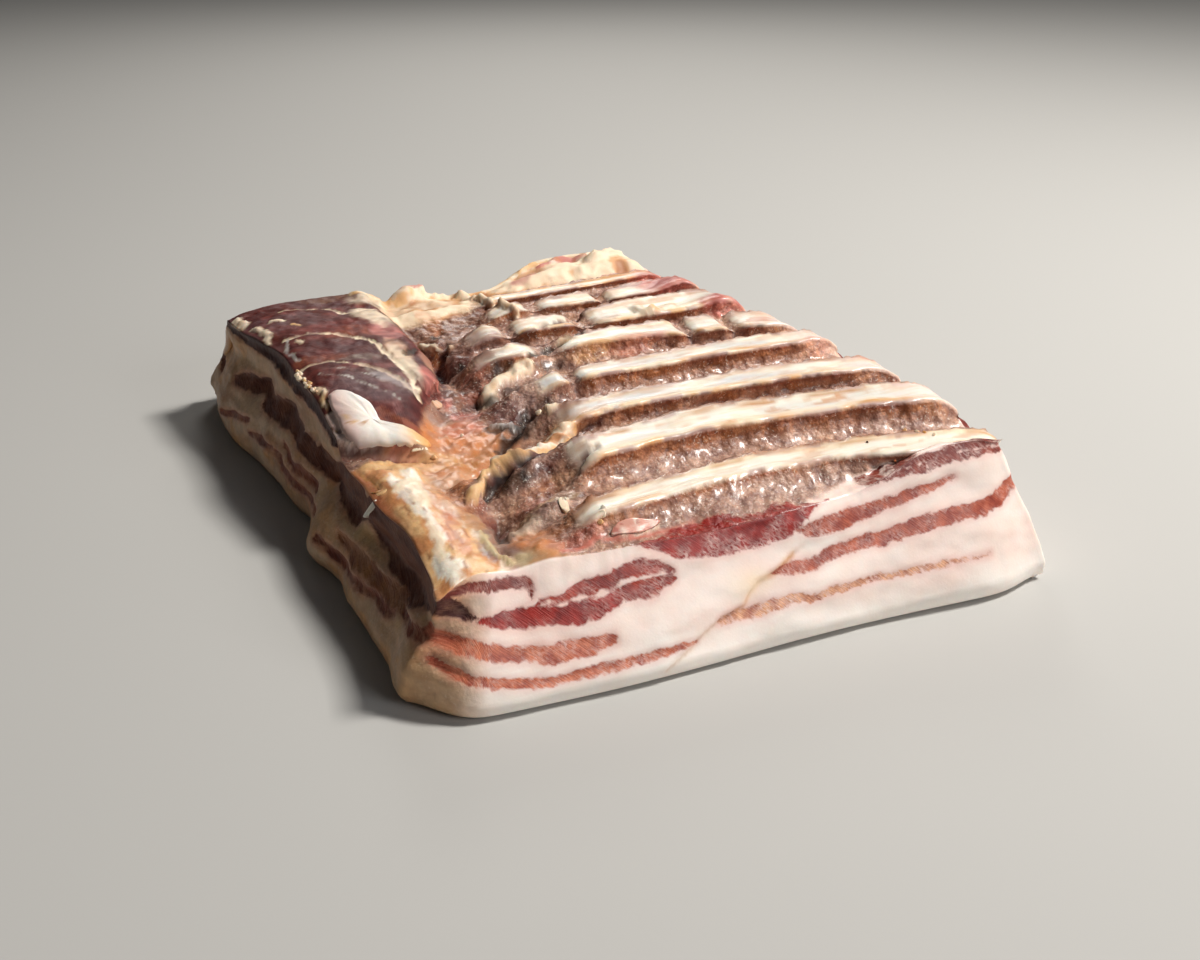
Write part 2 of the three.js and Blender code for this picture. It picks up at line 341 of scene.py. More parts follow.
def top_rows(x):
    """y and the ridges' height for each point of the grid, given its x.

    Between two stations y runs straight and the height eases; the front wall is hollow and sharp at the lip.
    """
    ys, lifts = [top_front(x)], [0 * x]
    lines = [ridge_line(ridge, x) for ridge in RIDGES]
    nexts = [lip for lip, _ in lines[1:]] + [np.full(x.shape, MOUND["at"] - 5.0)]
    for ridge, (lip, crest), after in zip(RIDGES, lines, nexts):
        rise = ridge["rise"] * ridge_presence(ridge, x)
        ys += [np.maximum(lip, ys[0] + 1.5), crest, lerp(crest, after, SHARE), lerp(after, crest, SHARE)]
        lifts += [rise * LIP, rise, 0 * x, 0 * x]
    mound = MOUND["rise"] * plateau(x, MOUND["start"], MOUND["stop"], MOUND["edge"])
    y, lift = np.empty(x.shape), np.empty(x.shape)
    for k in range(STRETCHES):
        rows = ROW_STRETCH == k
        t = ROW_T[rows]
        eased = t * t * (1.6 - 0.6 * t) if k % 4 == 0 else t * t * (3 - 2 * t)
        y[:, rows] = lerp(ys[k][:, rows], ys[k + 1][:, rows], t)
        lift[:, rows] = lerp(lifts[k][:, rows], lifts[k + 1][:, rows], eased)
    rows = ROW_STRETCH == STRETCHES
    y[:, rows] = lerp(ys[-1][:, rows], top_back(x)[:, rows], ROW_T[rows])
    lift[:, rows] = mound[:, rows] * smoothstep(y[:, rows], ys[-1][:, rows], MOUND["at"])
    return y, lift


def flap_field(x, y):
    """The x of the lean flap's right edge and the y of its blunt front end."""
    right = lerp(FLAP["narrow"], FLAP["broad"], smoothstep(y, FLAP["front"], FLAP["front"] + 75))
    front = FLAP["front"] + FLAP["skew"] * (40 - x)
    return right, front


def forms_height(x, y):
    """The height of the flap, the rim and the rounded forms above the ridges."""
    right, front = flap_field(x, y)
    across = plateau(x, -40, right, FLAP["edge"] * 2.2)
    crown = 1 - 0.25 * ((x - right / 2) / 36) ** 2
    slope = lerp(FLAP["step"], FLAP["rise"], smoothstep(y, front, front + FLAP["slope"]))
    far = 1 - 0.2 * smoothstep(y, 215, 262)
    z = slope * far * crown * across * plateau(y, front, FLAP["back"] + 20, FLAP["edge"])
    near = 1 - smoothstep(y, RIM["back"] - 12, RIM["back"] + 6)
    z = z + RIM["rise"] * hump(x, RIM["x"], RIM["half"]) * near
    for at_x, at_y, half_x, half_y, rise in FORMS:
        z = z + rise * hump(x, at_x, half_x) * hump(y, at_y, half_y)
    return z


def front_edge_lift(x, y):
    """Where the front cut runs up into the first ridge, the edge is as high as the ridge."""
    fade = 1 - smoothstep(y, top_front(x), top_front(x) + 14)
    return RIDGES[0]["rise"] * smoothstep(x, 148, 188) * fade


def plain_top():
    """The top without relief, as an array of points (column, row, xyz)."""
    share = np.linspace(0, 1, COLUMNS + 1)[:, None] * np.ones(ROWS)
    y, _ = top_rows(lerp(top_left(130), top_right(130), share))
    x = lerp(top_left(y), top_right(y), share)
    y, lift = top_rows(x)
    # The ridges reach out over the right edge and, unlike the solid's, are rounded off there by up to half
    # their height.
    ridge_end = 3.5 * (lift / 9 - 0.4) * smoothstep(share, 0.93, 1)
    lift = lift * (1 - 0.5 * (1 - np.sqrt(1 - np.clip((share - 0.955) / 0.045, 0, 1) ** 2)))
    raised = np.maximum(lift, front_edge_lift(x, y)) + forms_height(x, y) + 0.5 * ripple(x, y)
    rounded = 1.6 * hump(share, 0, 0.02) + 2.4 * hump(share, 1, 0.03)
    return np.stack([x + ridge_end, y, floor_height(x) + raised - rounded], -1)


def grid_normals(points):
    """Unit normals of a grid of points, from the differences along its two directions."""
    along, across = np.gradient(points, axis=0), np.gradient(points, axis=1)
    normals = np.cross(along, across)
    return normals / np.linalg.norm(normals, axis=-1, keepdims=True)


# ---- What lies on the top: strands and lumps that are both form and colour ----
# Each is a line of (x, y, half width), how far it stands up or lies in, in mm, and its colour.
STRANDS = [
    # Fat seams over the lean flap.
    ([(27, 251, 0.8), (37, 249, 1), (46, 244, 1.1), (51, 233, 1.3), (64, 238, 1.8)], -0.5, "cream"),
    ([(17, 210, 0.9), (29, 210, 1), (38, 207, 1.2), (49, 194, 1.2), (52, 179, 1.3), (53, 159, 1.5),
      (53, 142, 1.4)], -0.6, "cream"),
    ([(15, 176, 1), (22, 177, 1), (29, 176, 1.1), (38, 168, 1.2), (46, 158, 1.3), (49, 145, 1.4),
      (51, 136, 1.2)], -0.6, "cream"),
    ([(19, 212, 0.6), (17, 198, 0.7), (19, 184, 0.9)], -0.3, "membrane"),
    ([(22, 162, 0.4), (30, 155, 0.5), (35, 145, 0.5), (41, 136, 0.5), (45, 128, 0.3)], -0.2, "membrane"),
    ([(26, 168, 0.3), (34, 161, 0.4), (42, 150, 0.4)], -0.1, "membrane"),
    ([(9, 255, 2.6), (10, 244, 3)], 1.6, "cream"),
    ([(12, 236, 1), (15, 222, 1.4), (13, 213, 1)], 0.9, "cream"),
    ([(19, 234, 1.2), (23, 233, 0.9)], 0.8, "cream"),
    ([(26, 227, 1.1), (29, 224, 0.8)], 0.5, "butter"),
    ([(22, 206, 1.1), (24, 203, 0.8)], 0.4, "cream"),
    ([(17, 152, 1.3), (19, 147, 0.9), (16, 144, 1.1), (17, 138, 0.8)], 1.2, "butter"),
    # The far fat, and the strands that cross to the far ridges.
    ([(62, 262, 2.4), (72, 259, 3.4), (84, 258, 4)], 1.4, "butter"),
    ([(91, 263, 2), (109, 264, 2.8), (116, 241, 2.2), (119, 224, 2), (122, 214, 1)], 2.6, "cream"),
    ([(121, 264, 2.4), (137, 270, 2.6), (151, 277, 2)], 1.8, "butter"),
    ([(152, 270, 2), (166, 276, 3), (176, 272, 2)], 1.4, "blush"),
    ([(178, 266, 4), (192, 272, 4.6)], 2.2, "cream"),
    # The ends of the ridges.
    ([(79, 145, 2.8), (83, 150, 3.4), (90, 154, 3.4), (102, 157, 3)], 3, "cream"),
    ([(72, 118, 1), (79, 115, 1.4), (88, 112, 1.3)], 1.6, "membrane"),
    ([(89, 101, 2.4), (91, 108, 3), (94, 116, 2.2)], 2.4, "cream"),
    ([(43, 58, 1.7), (46, 63, 2), (51, 67, 1.6)], 2.4, "butter"),
    ([(50, 68.5, 0.9), (56, 70, 1), (63, 71.5, 1), (69, 73, 0.7)], 0.8, "olive"),
    ([(64, 37, 1.1), (67, 35, 1.2)], 1.4, "cream"),
    ([(39, 37, 0.8), (37, 28, 1.2), (36, 18, 1.4), (38, 10, 1)], 0.9, "olive"),
    ([(166, 191, 3), (169, 184, 2.6)], 1.8, "cream"),
    ([(170, 184, 1.6), (180, 188, 1.8)], 1.2, "butter"),
    ([(77, 216, 1.6), (80, 204, 1.5), (84, 198, 1)], 1.6, "cream"),
    # The rim's bright fat, and cracks and pits.
    ([(23, 74, 2), (29, 79, 2.6), (28, 66, 3), (27, 56, 2)], 0.3, "cream"),
    ([(24, 46, 1), (23, 34, 2.4), (21, 22, 1.6)], 0.2, "cream"),
    # The second ridge's lobe: butter fat, with a dried-red front that is partly painted shade and an ivory
    # line along its top that is a painted highlight.
    ([(52, 70, 2), (60, 73.5, 4.4), (69, 77, 5.4), (79, 82, 5.6), (88, 89, 5)], 3.4, "butter"),
    ([(53, 66, 1.6), (61, 67.6, 2.2), (71, 70.4, 2), (80, 75, 1.4)], 0.6, "dried"),
    ([(55, 70, 0.5), (63, 72.4, 0.8), (73, 76, 0.6)], 0.4, "stain"),
    ([(57, 71.6, 0.8), (65, 75, 1.8), (75, 79.5, 2.4), (86, 87, 2.8)], 0.9, "ivory"),
    ([(60, 77, 0.7), (70, 81, 1), (80, 86, 0.8)], 0.4, "fat_golden"),
    ([(80, 84, 2), (86, 87, 2.6)], 0.3, "amber"),
    ([(20, 100, 2), (27, 96, 2.4), (33, 90, 2)], 0.6, "butter"),
    ([(80, 267, 3.4), (90, 267, 4)], 2.4, "blush"),
    ([(54, 10.5, 0.6), (66, 8.6, 0.7), (79, 8, 0.8), (92, 7.6, 0.7), (106, 7.4, 0.4)], 0.2, "salmon"),
    ([(15, 100, 0.5), (18, 88, 0.6), (20, 74, 0.4)], -0.6, "stain"),
    ([(16, 126, 0.8), (17, 122, 0.5)], -1, "dried"),
]
# Pits, in the same form as the strands: dark brown and near-black, partly the tissue's own colour, partly
# painted shade in the hollows.
PITS = [
    ([(49, 50, 1.2), (46, 42, 2), (44, 34, 3), (41, 27, 1.8)], -3.2, "near_black_and_shade"),
    ([(39, 20, 1), (38, 15, 1.4)], -1.6, "dried"),
    ([(49, 61, 1.6), (53, 64, 3), (59, 67, 3), (66, 69, 2.4), (72, 70, 1)], -3.8, "near_black_and_shade"),
    ([(68, 52, 1), (78, 56, 1.8), (89, 62, 1.2)], -1.6, "dried"),
    ([(68, 98, 2.6), (76, 106, 4.6), (88, 119, 3)], -2.4, "near_black_and_shade"),
    ([(59, 144, 2), (68, 158, 2.4), (77, 192, 3.4), (85, 206, 2)], -2.6, "dried"),
    ([(60, 176, 2.2), (64, 182, 2.6)], -1.4, "near_black_and_shade"),
    ([(84, 217, 2), (88, 222, 2.2)], -1.4, "near_black_and_shade"),
    ([(76, 146, 2), (82, 143, 2.6), (94, 146, 1.4)], -1.8, "near_black_and_shade"),
    ([(104, 160, 1.4), (116, 168, 2.2), (130, 171, 1.6)], -1.4, "near_black_and_shade"),
    ([(78, 182, 2.4), (86, 179, 2.4)], -1.8, "near_black_and_shade"),
    ([(120, 188, 1.6), (128, 192, 2.4), (136, 196, 1.8)], -2, "dried"),
    ([(138, 204, 1.6), (142, 198, 2)], -2, "dried"),
    ([(98, 132, 1.4), (110, 139, 2), (122, 143, 1)], -1.2, "near_black_and_shade"),
    ([(84, 78, 1.4), (96, 88, 2), (112, 92, 1)], -1.2, "dried"),
]
# Soft patches of colour: middle, half sizes, turn in degrees, colour and strength.
PATCHES = [
    # The flap. Its slate patches are partly a grey bloom, partly a painted sheen.
    (45, 212, 17, 13, 0, "claret", 0.5),
    (46, 206, 12, 10, 0, "rust", 0.35),
    (26, 182, 12, 5, 0, "rust", 0.5),
    (44, 190, 12, 12, 0, "slate", 0.2),
    (36, 145, 14, 16, 30, "slate", 0.3),
    (45, 150, 5, 13, 24, "membrane", 0.4),
    (40, 178, 9, 3, -10, "membrane", 0.25),
    (15, 121, 3, 14, -6, "lilac", 0.7),
    (22, 232, 20, 12, 0, "slate", 0.25),
    (60, 205, 7, 14, 0, "blush", 0.7),
    (57, 178, 5, 14, 0, "flesh", 0.7),
    (60, 226, 8, 16, 10, "cream", 0.8),
    (70, 252, 16, 9, 0, "cream", 0.6),
    (56, 166, 4, 20, 0, "cream", 0.8),
    (84, 268, 8, 5, 0, "blush", 0.9),
    (52, 262, 16, 6, 0, "umber", 0.5),
    # The far fat and the slot.
    (94, 250, 10, 7, 0, "cream", 0.6),
    (130, 268, 9, 5, 0, "cream", 0.6),
    (150, 266, 12, 5, 0, "flesh", 0.5),
    (142, 262, 7, 4, 20, "blush", 0.7),
    (176, 268, 14, 4, 0, "cream", 0.6),
    (86, 232, 5, 12, 0, "hollow", 0.5),
    (104, 262, 14, 6, 0, "butter", 0.6),
    (62, 152, 6, 10, 0, "blush", 0.8),
    (68, 170, 5, 10, 0, "flesh", 0.9),
    (79, 200, 5, 7, 0, "stain", 0.7),
    (72, 190, 5, 20, -10, "rust", 0.7),
    # The grainy wall behind it.
    (92, 205, 7, 22, -12, "lilac", 0.8),
    (98, 186, 9, 12, 0, "lilac", 0.9),
    (88, 172, 8, 8, 0, "lilac", 0.9),
    (104, 176, 9, 7, 0, "slate", 0.6),
    (82, 160, 7, 6, 0, "blush", 0.5),
    (96, 142, 10, 5, 20, "slate", 0.6),
    (84, 122, 12, 6, 0, "slate", 0.5),
    (100, 120, 12, 5, 10, "lilac", 0.6),
    (96, 92, 12, 5, 20, "flesh", 0.6),
    # The hollow.
    (54, 106, 24, 28, 0, "hollow", 0.95),
    (42, 98, 14, 10, 0, "butter", 0.6),
    (62, 122, 10, 7, 0, "blush", 0.5),
    (70, 134, 7, 8, 0, "blush", 0.7),
    (34, 104, 6, 4, 0, "blush", 0.4),
    (48, 88, 8, 6, 30, "hollow", 0.6),
    (44, 76, 6, 12, 0, "hollow", 0.8),
    (50, 92, 10, 6, 20, "stain", 0.4),
    (60, 96, 10, 6, 0, "stain", 0.35),
    (28, 70, 6, 11, -20, "purple", 0.45),
    (38, 78, 8, 8, 0, "flesh", 0.6),
    (50, 82, 10, 6, 0, "flesh", 0.6),
    (36, 60, 9, 12, 0, "hollow", 0.5),
    (70, 56, 12, 4, 10, "flesh", 0.7),
    (60, 50, 6, 4, 0, "blush", 0.5),
    # The near corner.
    (43, 12, 6, 5, 0, "olive", 0.6),
    (34, 19, 2.4, 9, 0, "slate", 0.7),
    (38, 44, 4, 8, 0, "stain", 0.6),
    (33, 46, 4, 6, 0, "rust", 0.35),
    (45, 52, 3, 8, -20, "rust", 0.8),
    (60, 12, 12, 3.4, 0, "blush", 0.6),
    (80, 10.5, 10, 1.6, 0, "ivory", 0.9),
    (30, 40, 5, 22, 0, "blush", 0.3),
    (50, 20, 8, 13, 0, "hollow", 0.8),
    (52, 34, 5, 6, 0, "cream", 0.5),
    (48, 8, 7, 4, 0, "stain", 0.6),
    (60, 16, 9, 6, 0, "rust", 0.5),
    (66, 24, 16, 3.4, 14, "brown", 0.7),
    (63, 44, 14, 4, 16, "olive", 0.35),
    # The orange lobe behind.
    (88, 90, 8, 6, 20, "stain", 0.6),
    # Round pink ends of the far ridges.
    (196, 220, 15, 12, 0, "blush", 0.95),
    (202, 182, 11, 9, 0, "blush", 0.95),
    (204, 242, 9, 9, 0, "blush", 0.8),
    (204, 150, 7, 5, 0, "pale", 0.6),
    (190, 218, 7, 5, 10, "blood", 0.7),
    (196, 184, 6, 5, 20, "blood", 0.6),
    (206, 214, 5, 6, 0, "flesh", 0.6),
    (150, 190, 8, 4, 10, "rust", 0.5),
    (170, 176, 14, 4, 5, "rust", 0.5),
    (150, 156, 14, 5, 5, "pale", 0.8),
    (130, 158, 10, 4, 5, "butter", 0.6),
    # Brown ends and pads of fat of the near ridges.
    (212, 64, 6, 7, 0, "stain", 0.5),
    (214, 96, 6, 6, 0, "pale", 0.7),
    (219, 56, 5, 6, 0, "fat_pink", 0.8),
    (210, 118, 6, 5, 0, "pale", 0.6),
    # Deep brown and near-black between the ridges' left ends: partly the tissue's own colour, partly painted
    # shade in the hollows there.
    (90, 100, 10, 5, 10, "umber", 0.7),
    (100, 106, 10, 4, 10, "dried", 0.4),
    (78, 62, 10, 5, 10, "umber", 0.6),
    (66, 56, 8, 4, 0, "rust", 0.5),
    (74, 92, 7, 4, 20, "umber", 0.7),
    (100, 136, 10, 4, 10, "umber", 0.7),
    (92, 170, 8, 8, 0, "umber", 0.5),
    (84, 186, 6, 8, 0, "dried", 0.6),
    (76, 152, 5, 9, 0, "rust", 0.7),
    (74, 116, 6, 5, 0, "near_black_and_shade", 0.85),
    (78, 102, 6, 4, 0, "near_black_and_shade", 0.8),
    (84, 119, 8, 3.6, 10, "dried", 0.7),
    (96, 120, 6, 2.6, 0, "near_black_and_shade", 0.6),
    (78, 158, 5, 4, 0, "near_black_and_shade", 0.8),
    (90, 159, 7, 3, 0, "near_black_and_shade", 0.75),
    (92, 147, 6, 2.6, 10, "near_black_and_shade", 0.6),
    (112, 157, 7, 2.4, 5, "near_black_and_shade", 0.8),
    (61, 62, 7, 3, 10, "near_black_and_shade", 0.85),
    (74, 65, 7, 2.4, 10, "dried", 0.8),
    (46, 46, 4, 6, 0, "dried", 0.7),
    (82, 204, 4, 8, 0, "dried", 0.7),
    (66, 172, 3.6, 9, 0, "claret", 0.6),
]

# What each ridge's strip shows: its front and back borders' colours, and how strong the stains and the
# bluish middle are; that middle is partly a translucent membrane, partly a painted reflection.
STRIP_LOOKS = [
    dict(front="ivory", back="cream", stain=0.5, blue=0.1),
    dict(front="cream", back="ivory", stain=0.7, blue=0.5),
    dict(front="cream", back="ivory", stain=0.35, blue=0.9),
    dict(front="cream", back="ivory", stain=0.4, blue=0.75),
    dict(front="ivory", back="cream", stain=0.4, blue=0.3),
    dict(front="cream", back="ivory", stain=0.5, blue=0.2),
    dict(front="ivory", back="cream", stain=0.4, blue=0.2),
    dict(front="cream", back="butter", stain=0.6, blue=0.1),
]
# Gaps where a ridge is broken: ridge, x and half width.
GAPS = [
    (4, 114, 7), (5, 140, 5), (4, 172, 3), (6, 130, 4),
    (5, 108, 3.5), (4, 190, 3), (6, 162, 3), (3, 108, 3),
]


def warped(x, y, amount, size, seed):
    """The same place, moved a little by noise, so that what is drawn by formula has an uneven outline."""
    return x + amount * layered(x, y, 0, size, seed), y + amount * layered(x, y, 0, size, seed + 5)


def broken(ridge, x):
    """How far a ridge is gone at x: 1 in the middle of a gap."""
    gone = 0 * x
    for at, middle, half in GAPS:
        if at == ridge:
            gone = np.maximum(gone, hump(x, middle, half))
    return gone


def strand_depth(x, y, points):
    """0 outside a strand, up to 1 along its middle, round in section."""
    depth = band(x, y, points)
    half = max(point[2] for point in points)
    return np.sqrt(np.clip(1 - (1 - np.clip(depth / half, 0, 1)) ** 2, 0, 1))


class Top:
    """The top's grid: where each point lies on the ridges, and how much it is flap, rim, hollow or far fat."""

    def __init__(self, points):
        self.points = points
        self.x, self.y, self.z = points[..., 0], points[..., 1], points[..., 2]
        shape = self.x.shape
        self.t = np.broadcast_to(ROW_T, shape)
        self.kind = np.broadcast_to(np.where(ROW_STRETCH < STRETCHES, ROW_STRETCH % 4, 3), shape)
        self.ridge = np.broadcast_to(np.minimum(ROW_STRETCH // 4, len(RIDGES) - 1), shape)
        presence = [ridge_presence(r, self.x) * (1 - broken(k, self.x)) for k, r in enumerate(RIDGES)]
        self.presence = np.take_along_axis(np.stack(presence), self.ridge[None], 0)[0]
        right, front = flap_field(self.x, self.y)
        fx, fy = warped(self.x, self.y, 1.6, 9, 3)
        inside = smoothstep(right - fx, -1.2, 1.2) * smoothstep(fy - front, -0.5, 2)
        self.flap = inside * smoothstep(FLAP["back"] + 4 - fy, 0, 4)
        self.from_front = self.y - front
        self.rim = hump(self.x, RIM["x"] - 1, 12) * (1 - smoothstep(self.y, 98, 108))
        self.wx, self.wy = warped(self.x, self.y, 2.2, 11, 21)
        self.hollow = smoothstep(oval(self.wx, self.wy, 50, 104, 26, 32), 0.15, 0.5) * (1 - self.flap)
        far = smoothstep(oval(self.wx, self.wy, 84, 252, 28, 18), 0.2, 0.5)
        self.far_fat = np.clip(far + smoothstep(self.wy, 250, 258) * smoothstep(self.x, 96, 112), 0, 1)
        self.far_lumps = layered(self.x, 1.5 * self.y, 0, 10, 42)


def top_relief(top):
    """Displacement of the top, as vectors.

    Along the normal: grains on the walls and channels, a bead along each lip, seams, strands and pits.
    The lips also hang over by a shift towards the front.
    """
    x, y, z, t = top.x, top.y, top.z, top.t
    wall = (top.kind == 0) * top.presence
    crest = (top.kind == 1) * top.presence
    rough = 1 - np.maximum(crest, top.flap)
    rough = rough * (1 - 0.75 * top.rim) * (1 - 0.7 * top.far_fat)
    height = rough * (0.8 * (grains(x, y, 1.3 * z, 3.2, 31) - 0.45) + 0.35 * noise(x, y, z, 1.7, 32))
    height += rough * 0.8 * layered(x, y, z, 9, 33)
    height += wall * 0.5 * noise(x, 0.4 * y, 0.4 * z, 3.6, 34)
    bead = 0.8 * hump(t, 0.08, 0.12) - 0.5 * hump(t, 0.5, 0.3)
    height += crest * (bead + 0.35 * noise(x / 4, y, 0, 2.4, 35))
    height += crest * 0.45 * layered(x, y, 0, 12, 36)
    gone = np.choose(top.ridge, [broken(k, x) for k in range(len(RIDGES))])
    height -= np.isin(top.kind, (0, 1, 2)) * gone * 3.2
    # The flap: its bundles swell between the seams.
    height += top.flap * (0.9 * layered(x, 0.6 * y, 0, 14, 37) + 0.35 * noise(x, y, 0, 2.4, 38))
    height += top.rim * (0.6 * layered(2 * x, 0.5 * y, 0, 9, 39) + 0.12 * noise(x, y, 0, 2.4, 40))
    height += top.far_fat * 2.2 * top.far_lumps
    height += top.hollow * 0.5 * noise(0.16 * (x + 0.7 * y), y - 0.7 * x, 0, 2.6, 43)
    height += top.hollow * 0.9 * layered(0.6 * (x + 0.7 * y), y - 0.7 * x, 0, 8, 44)
    uneven = 1 + 0.35 * noise(x, y, 0, 2.2, 46)
    for points, rise, _ in STRANDS + PITS:
        height += rise * strand_depth(top.wx, top.wy, points) * uneven
    height = height * (1 - 0.85 * chunk_face(top))
    # A groove under the flap's blunt front end.
    groove = hump(top.from_front, -4, 1.2) * smoothstep(x, 13, 18) * (1 - smoothstep(x, 40, 46))
    height -= 1.2 * groove
    moved = grid_normals(top.points) * height[..., None]
    lip = wall * smoothstep(t, 0.55, 1) + crest * (1 - smoothstep(t, 0, 0.25))
    lip = lip * (1 - smoothstep(x, 200, 210))
    moved[..., 1] -= 1.3 * lip * (1 + 0.5 * noise(x, 0, 0, 7, 41)) - 1.2 * wall * np.sin(np.pi * t)
    # The ridges wander a little from their lines.
    share = np.choose(top.kind, [smoothstep(t, 0, 0.3), 1 + 0 * t, 1 - t, 0 * t]) * top.presence
    moved[..., 1] += 0.9 * share * layered(x, 30.0 * top.ridge, 0, 13, 45)
    front = smoothstep(top.from_front, -1, 1.5) * (1 - smoothstep(top.from_front, 4, 14))
    moved[..., 1] -= 1.6 * front * smoothstep(x, 14, 20) * (1 - smoothstep(x, 42, 48))
    # The front cut is flat, and the outline stays: relief fades towards the edges.
    edge = smoothstep(np.minimum(x - x[:1], x[-1:] - x), -0.5, 5) * smoothstep(y - y[:, :1], -0.5, 4)
    return moved * (0.25 + 0.75 * edge * smoothstep(y[:, -1:] - y, -0.5, 5))[..., None]


def blank_look(shape):
    """The attributes that the materials read, before anything is painted."""
    look = {name: np.zeros(shape) for name in ("marbling", "coarse", "wet", "strip")}
    look["lean"] = np.full(shape, NO_LEAN)
    look["tint"] = np.ones((*shape, 3)) * np.array(linear("fat_pink")[:3])
    look["lean_tint"] = np.ones((*shape, 3)) * np.array(linear("fresh")[:3])
    look["run"] = np.zeros((*shape, 3))
    return look


def paint_walls(tint, top):
    """The rough walls and channels: golden brown under the lips, lilac-grey and pinkish lower down, with
    painted shade in a dark line right under each lip and over their left parts.
    """
    x, y, t = top.wx, top.wy, top.t
    mottle = layered(x, 1.4 * y, top.z, 9, 51)
    tint = paint(tint, "lilac", 0.8 + 0.5 * mottle)
    tint = paint(tint, "flesh", 0.1 + 0.8 * layered(x, y, top.z, 14, 52))
    # Painted shade: umber and dried red over the walls' and channels' left parts.
    shaded = 1 - smoothstep(x + 0.3 * (200 - y), 88, 128)
    tint = paint(tint, "umber", 0.75 * shaded * (0.7 + 0.6 * mottle))
    tint = paint(tint, "dried", 0.5 * shaded * smoothstep(layered(x, 1.5 * y, 0, 8, 56), 0, 0.4))
    wall = (top.kind == 0) * top.presence
    slope = (top.kind == 2) * top.presence
    tint = paint(tint, "brown", wall * smoothstep(t, 0.25, 0.7) * (0.75 + 0.5 * mottle))
    tint = paint(tint, "amber", wall * smoothstep(t, 0.45, 0.9) * (0.3 + 0.7 * layered(x, y, 0, 12, 53)))
    # A rust and dried-red line right under each lip: partly the wall's own colour, partly painted shade under
    # the overhang.
    tint = paint(tint, "rust", wall * hump(t, 0.88, 0.1) * (0.4 + 0.6 * noise(x, 0, 0, 13, 54)))
    tint = paint(tint, "dried", wall * hump(t, 0.96, 0.04) * (0.5 + 0.5 * noise(x, 0, 0, 17, 57)))
    tint = paint(tint, "umber", wall * hump(t, 0.45, 0.16) * (0.2 + 0.6 * noise(x, y, 0, 7, 55)))
    tint = paint(tint, "umber", (top.kind == 3) * hump(t, 0.75, 0.3) * (0.1 + 0.6 * mottle))
    near = (top.ridge == 0) * (top.kind == 0) * smoothstep(top.x, 70, 100) * (1 - smoothstep(t, 0.7, 0.9))
    tint = paint(tint, "lilac", near * (0.7 + 0.3 * mottle))
    tint = paint(tint, "fat_pink", near * (0.3 + 0.5 * mottle) * smoothstep(top.x, 90, 150))
    return paint(tint, "brown", slope * (0.55 + 0.4 * mottle))


def paint_strips(tint, top):
    """The smooth strips on the ridges: ivory with golden borders, a bluish middle that is partly a painted
    reflection, and orange-brown stains.
    """
    x, t = top.wx, top.t
    for k, strip in enumerate(STRIP_LOOKS):
        here = (top.ridge == k) * (top.kind == 1) * smoothstep(top.presence, 0.35, 0.7)
        edge = layered(top.x, 0, 0, 9, 60 + k)
        here = here * (1 - smoothstep(t + 0.22 * edge, 0.8, 0.92))
        here = here * smoothstep(t + 0.1 * noise(top.x, 0, 0, 6, 66 + k), -0.02, 0.05)
        tint = paint(tint, "ivory", here)
        place = t + 0.14 * layered(x, 0, 0, 16, 61 + k)
        tint = paint(tint, strip["front"], here * (1 - smoothstep(place, 0.15, 0.35)))
        tint = paint(tint, strip["back"], here * smoothstep(place, 0.6, 0.8))
        # The bluish middle: partly a translucent membrane, partly a painted reflection.
        blue = hump(place, 0.45, 0.22) * smoothstep(layered(x / 2, 0, 0, 9, 62 + k), -0.5, 0.2)
        tint = paint(tint, "bluish", here * blue * strip["blue"])
        stains = smoothstep(layered(x / 3, 2.2 * top.wy, 0, 4, 70 + k), 0.0, 0.45)
        tint = paint(tint, "amber", here * stains * strip["stain"] * (0.55 + 0.45 * smoothstep(x, 110, 170)))
        golden = hump(place, 0.03, 0.09) * smoothstep(noise(x, 0, 0, 12, 75 + k), -0.5, 0.2)
        tint = paint(tint, "fat_golden", here * golden * 0.8)
        line = hump(t, 0.8, 0.1) * smoothstep(noise(x, 0, 0, 11, 80 + k), -0.5, 0.3)
        tint = paint(tint, "stain", here * line * (0.3 + strip["stain"]))
    # The fat of the ridges' right ends, and the round pink ones at the back.
    ends = smoothstep(top.x, 196, 212) * smoothstep(top.y, 25, 40)
    ends = ends * (1 - 0.85 * np.isin(top.ridge, (1, 2)) * (top.kind == 0))
    tint = paint(tint, "fat_pink", ends * (0.7 + 0.5 * layered(x, top.wy, 0, 12, 91)))
    tint = paint(tint, "amber", ends * (top.kind == 0) * 0.6 * (1 - smoothstep(top.x, 206, 214)))
    round_ends = oval(top.x, top.y, 198, 226, 14, 20)
    tint = paint(tint, "blush", 1.3 * round_ends * (0.75 + 0.4 * layered(x, top.wy, 0, 10, 92)))
    return paint(tint, "blood", 0.5 * round_ends * smoothstep(layered(x, top.wy, 0, 8, 93), 0.1, 0.5))


def chunk_face(top):
    """The blunt face of the flap's front end, from its lip down to its foot."""
    down = top.from_front + 0.6 * noise(top.x, 0, 0, 4, 105)
    return plateau(down, -3.2, 1, 0.8) * plateau(top.x, 17, 46, 3)


# The fat on the flap's blunt front end, and the lean that shows under its right part: (x, y, half width).
CHUNK = [(19, 126, 9), (25, 124, 11), (34, 117, 9), (44, 110, 6)]
WEDGE = [(33, 126, 1.6), (36, 119, 3.4), (41, 115.5, 3.2), (46, 115, 2)]


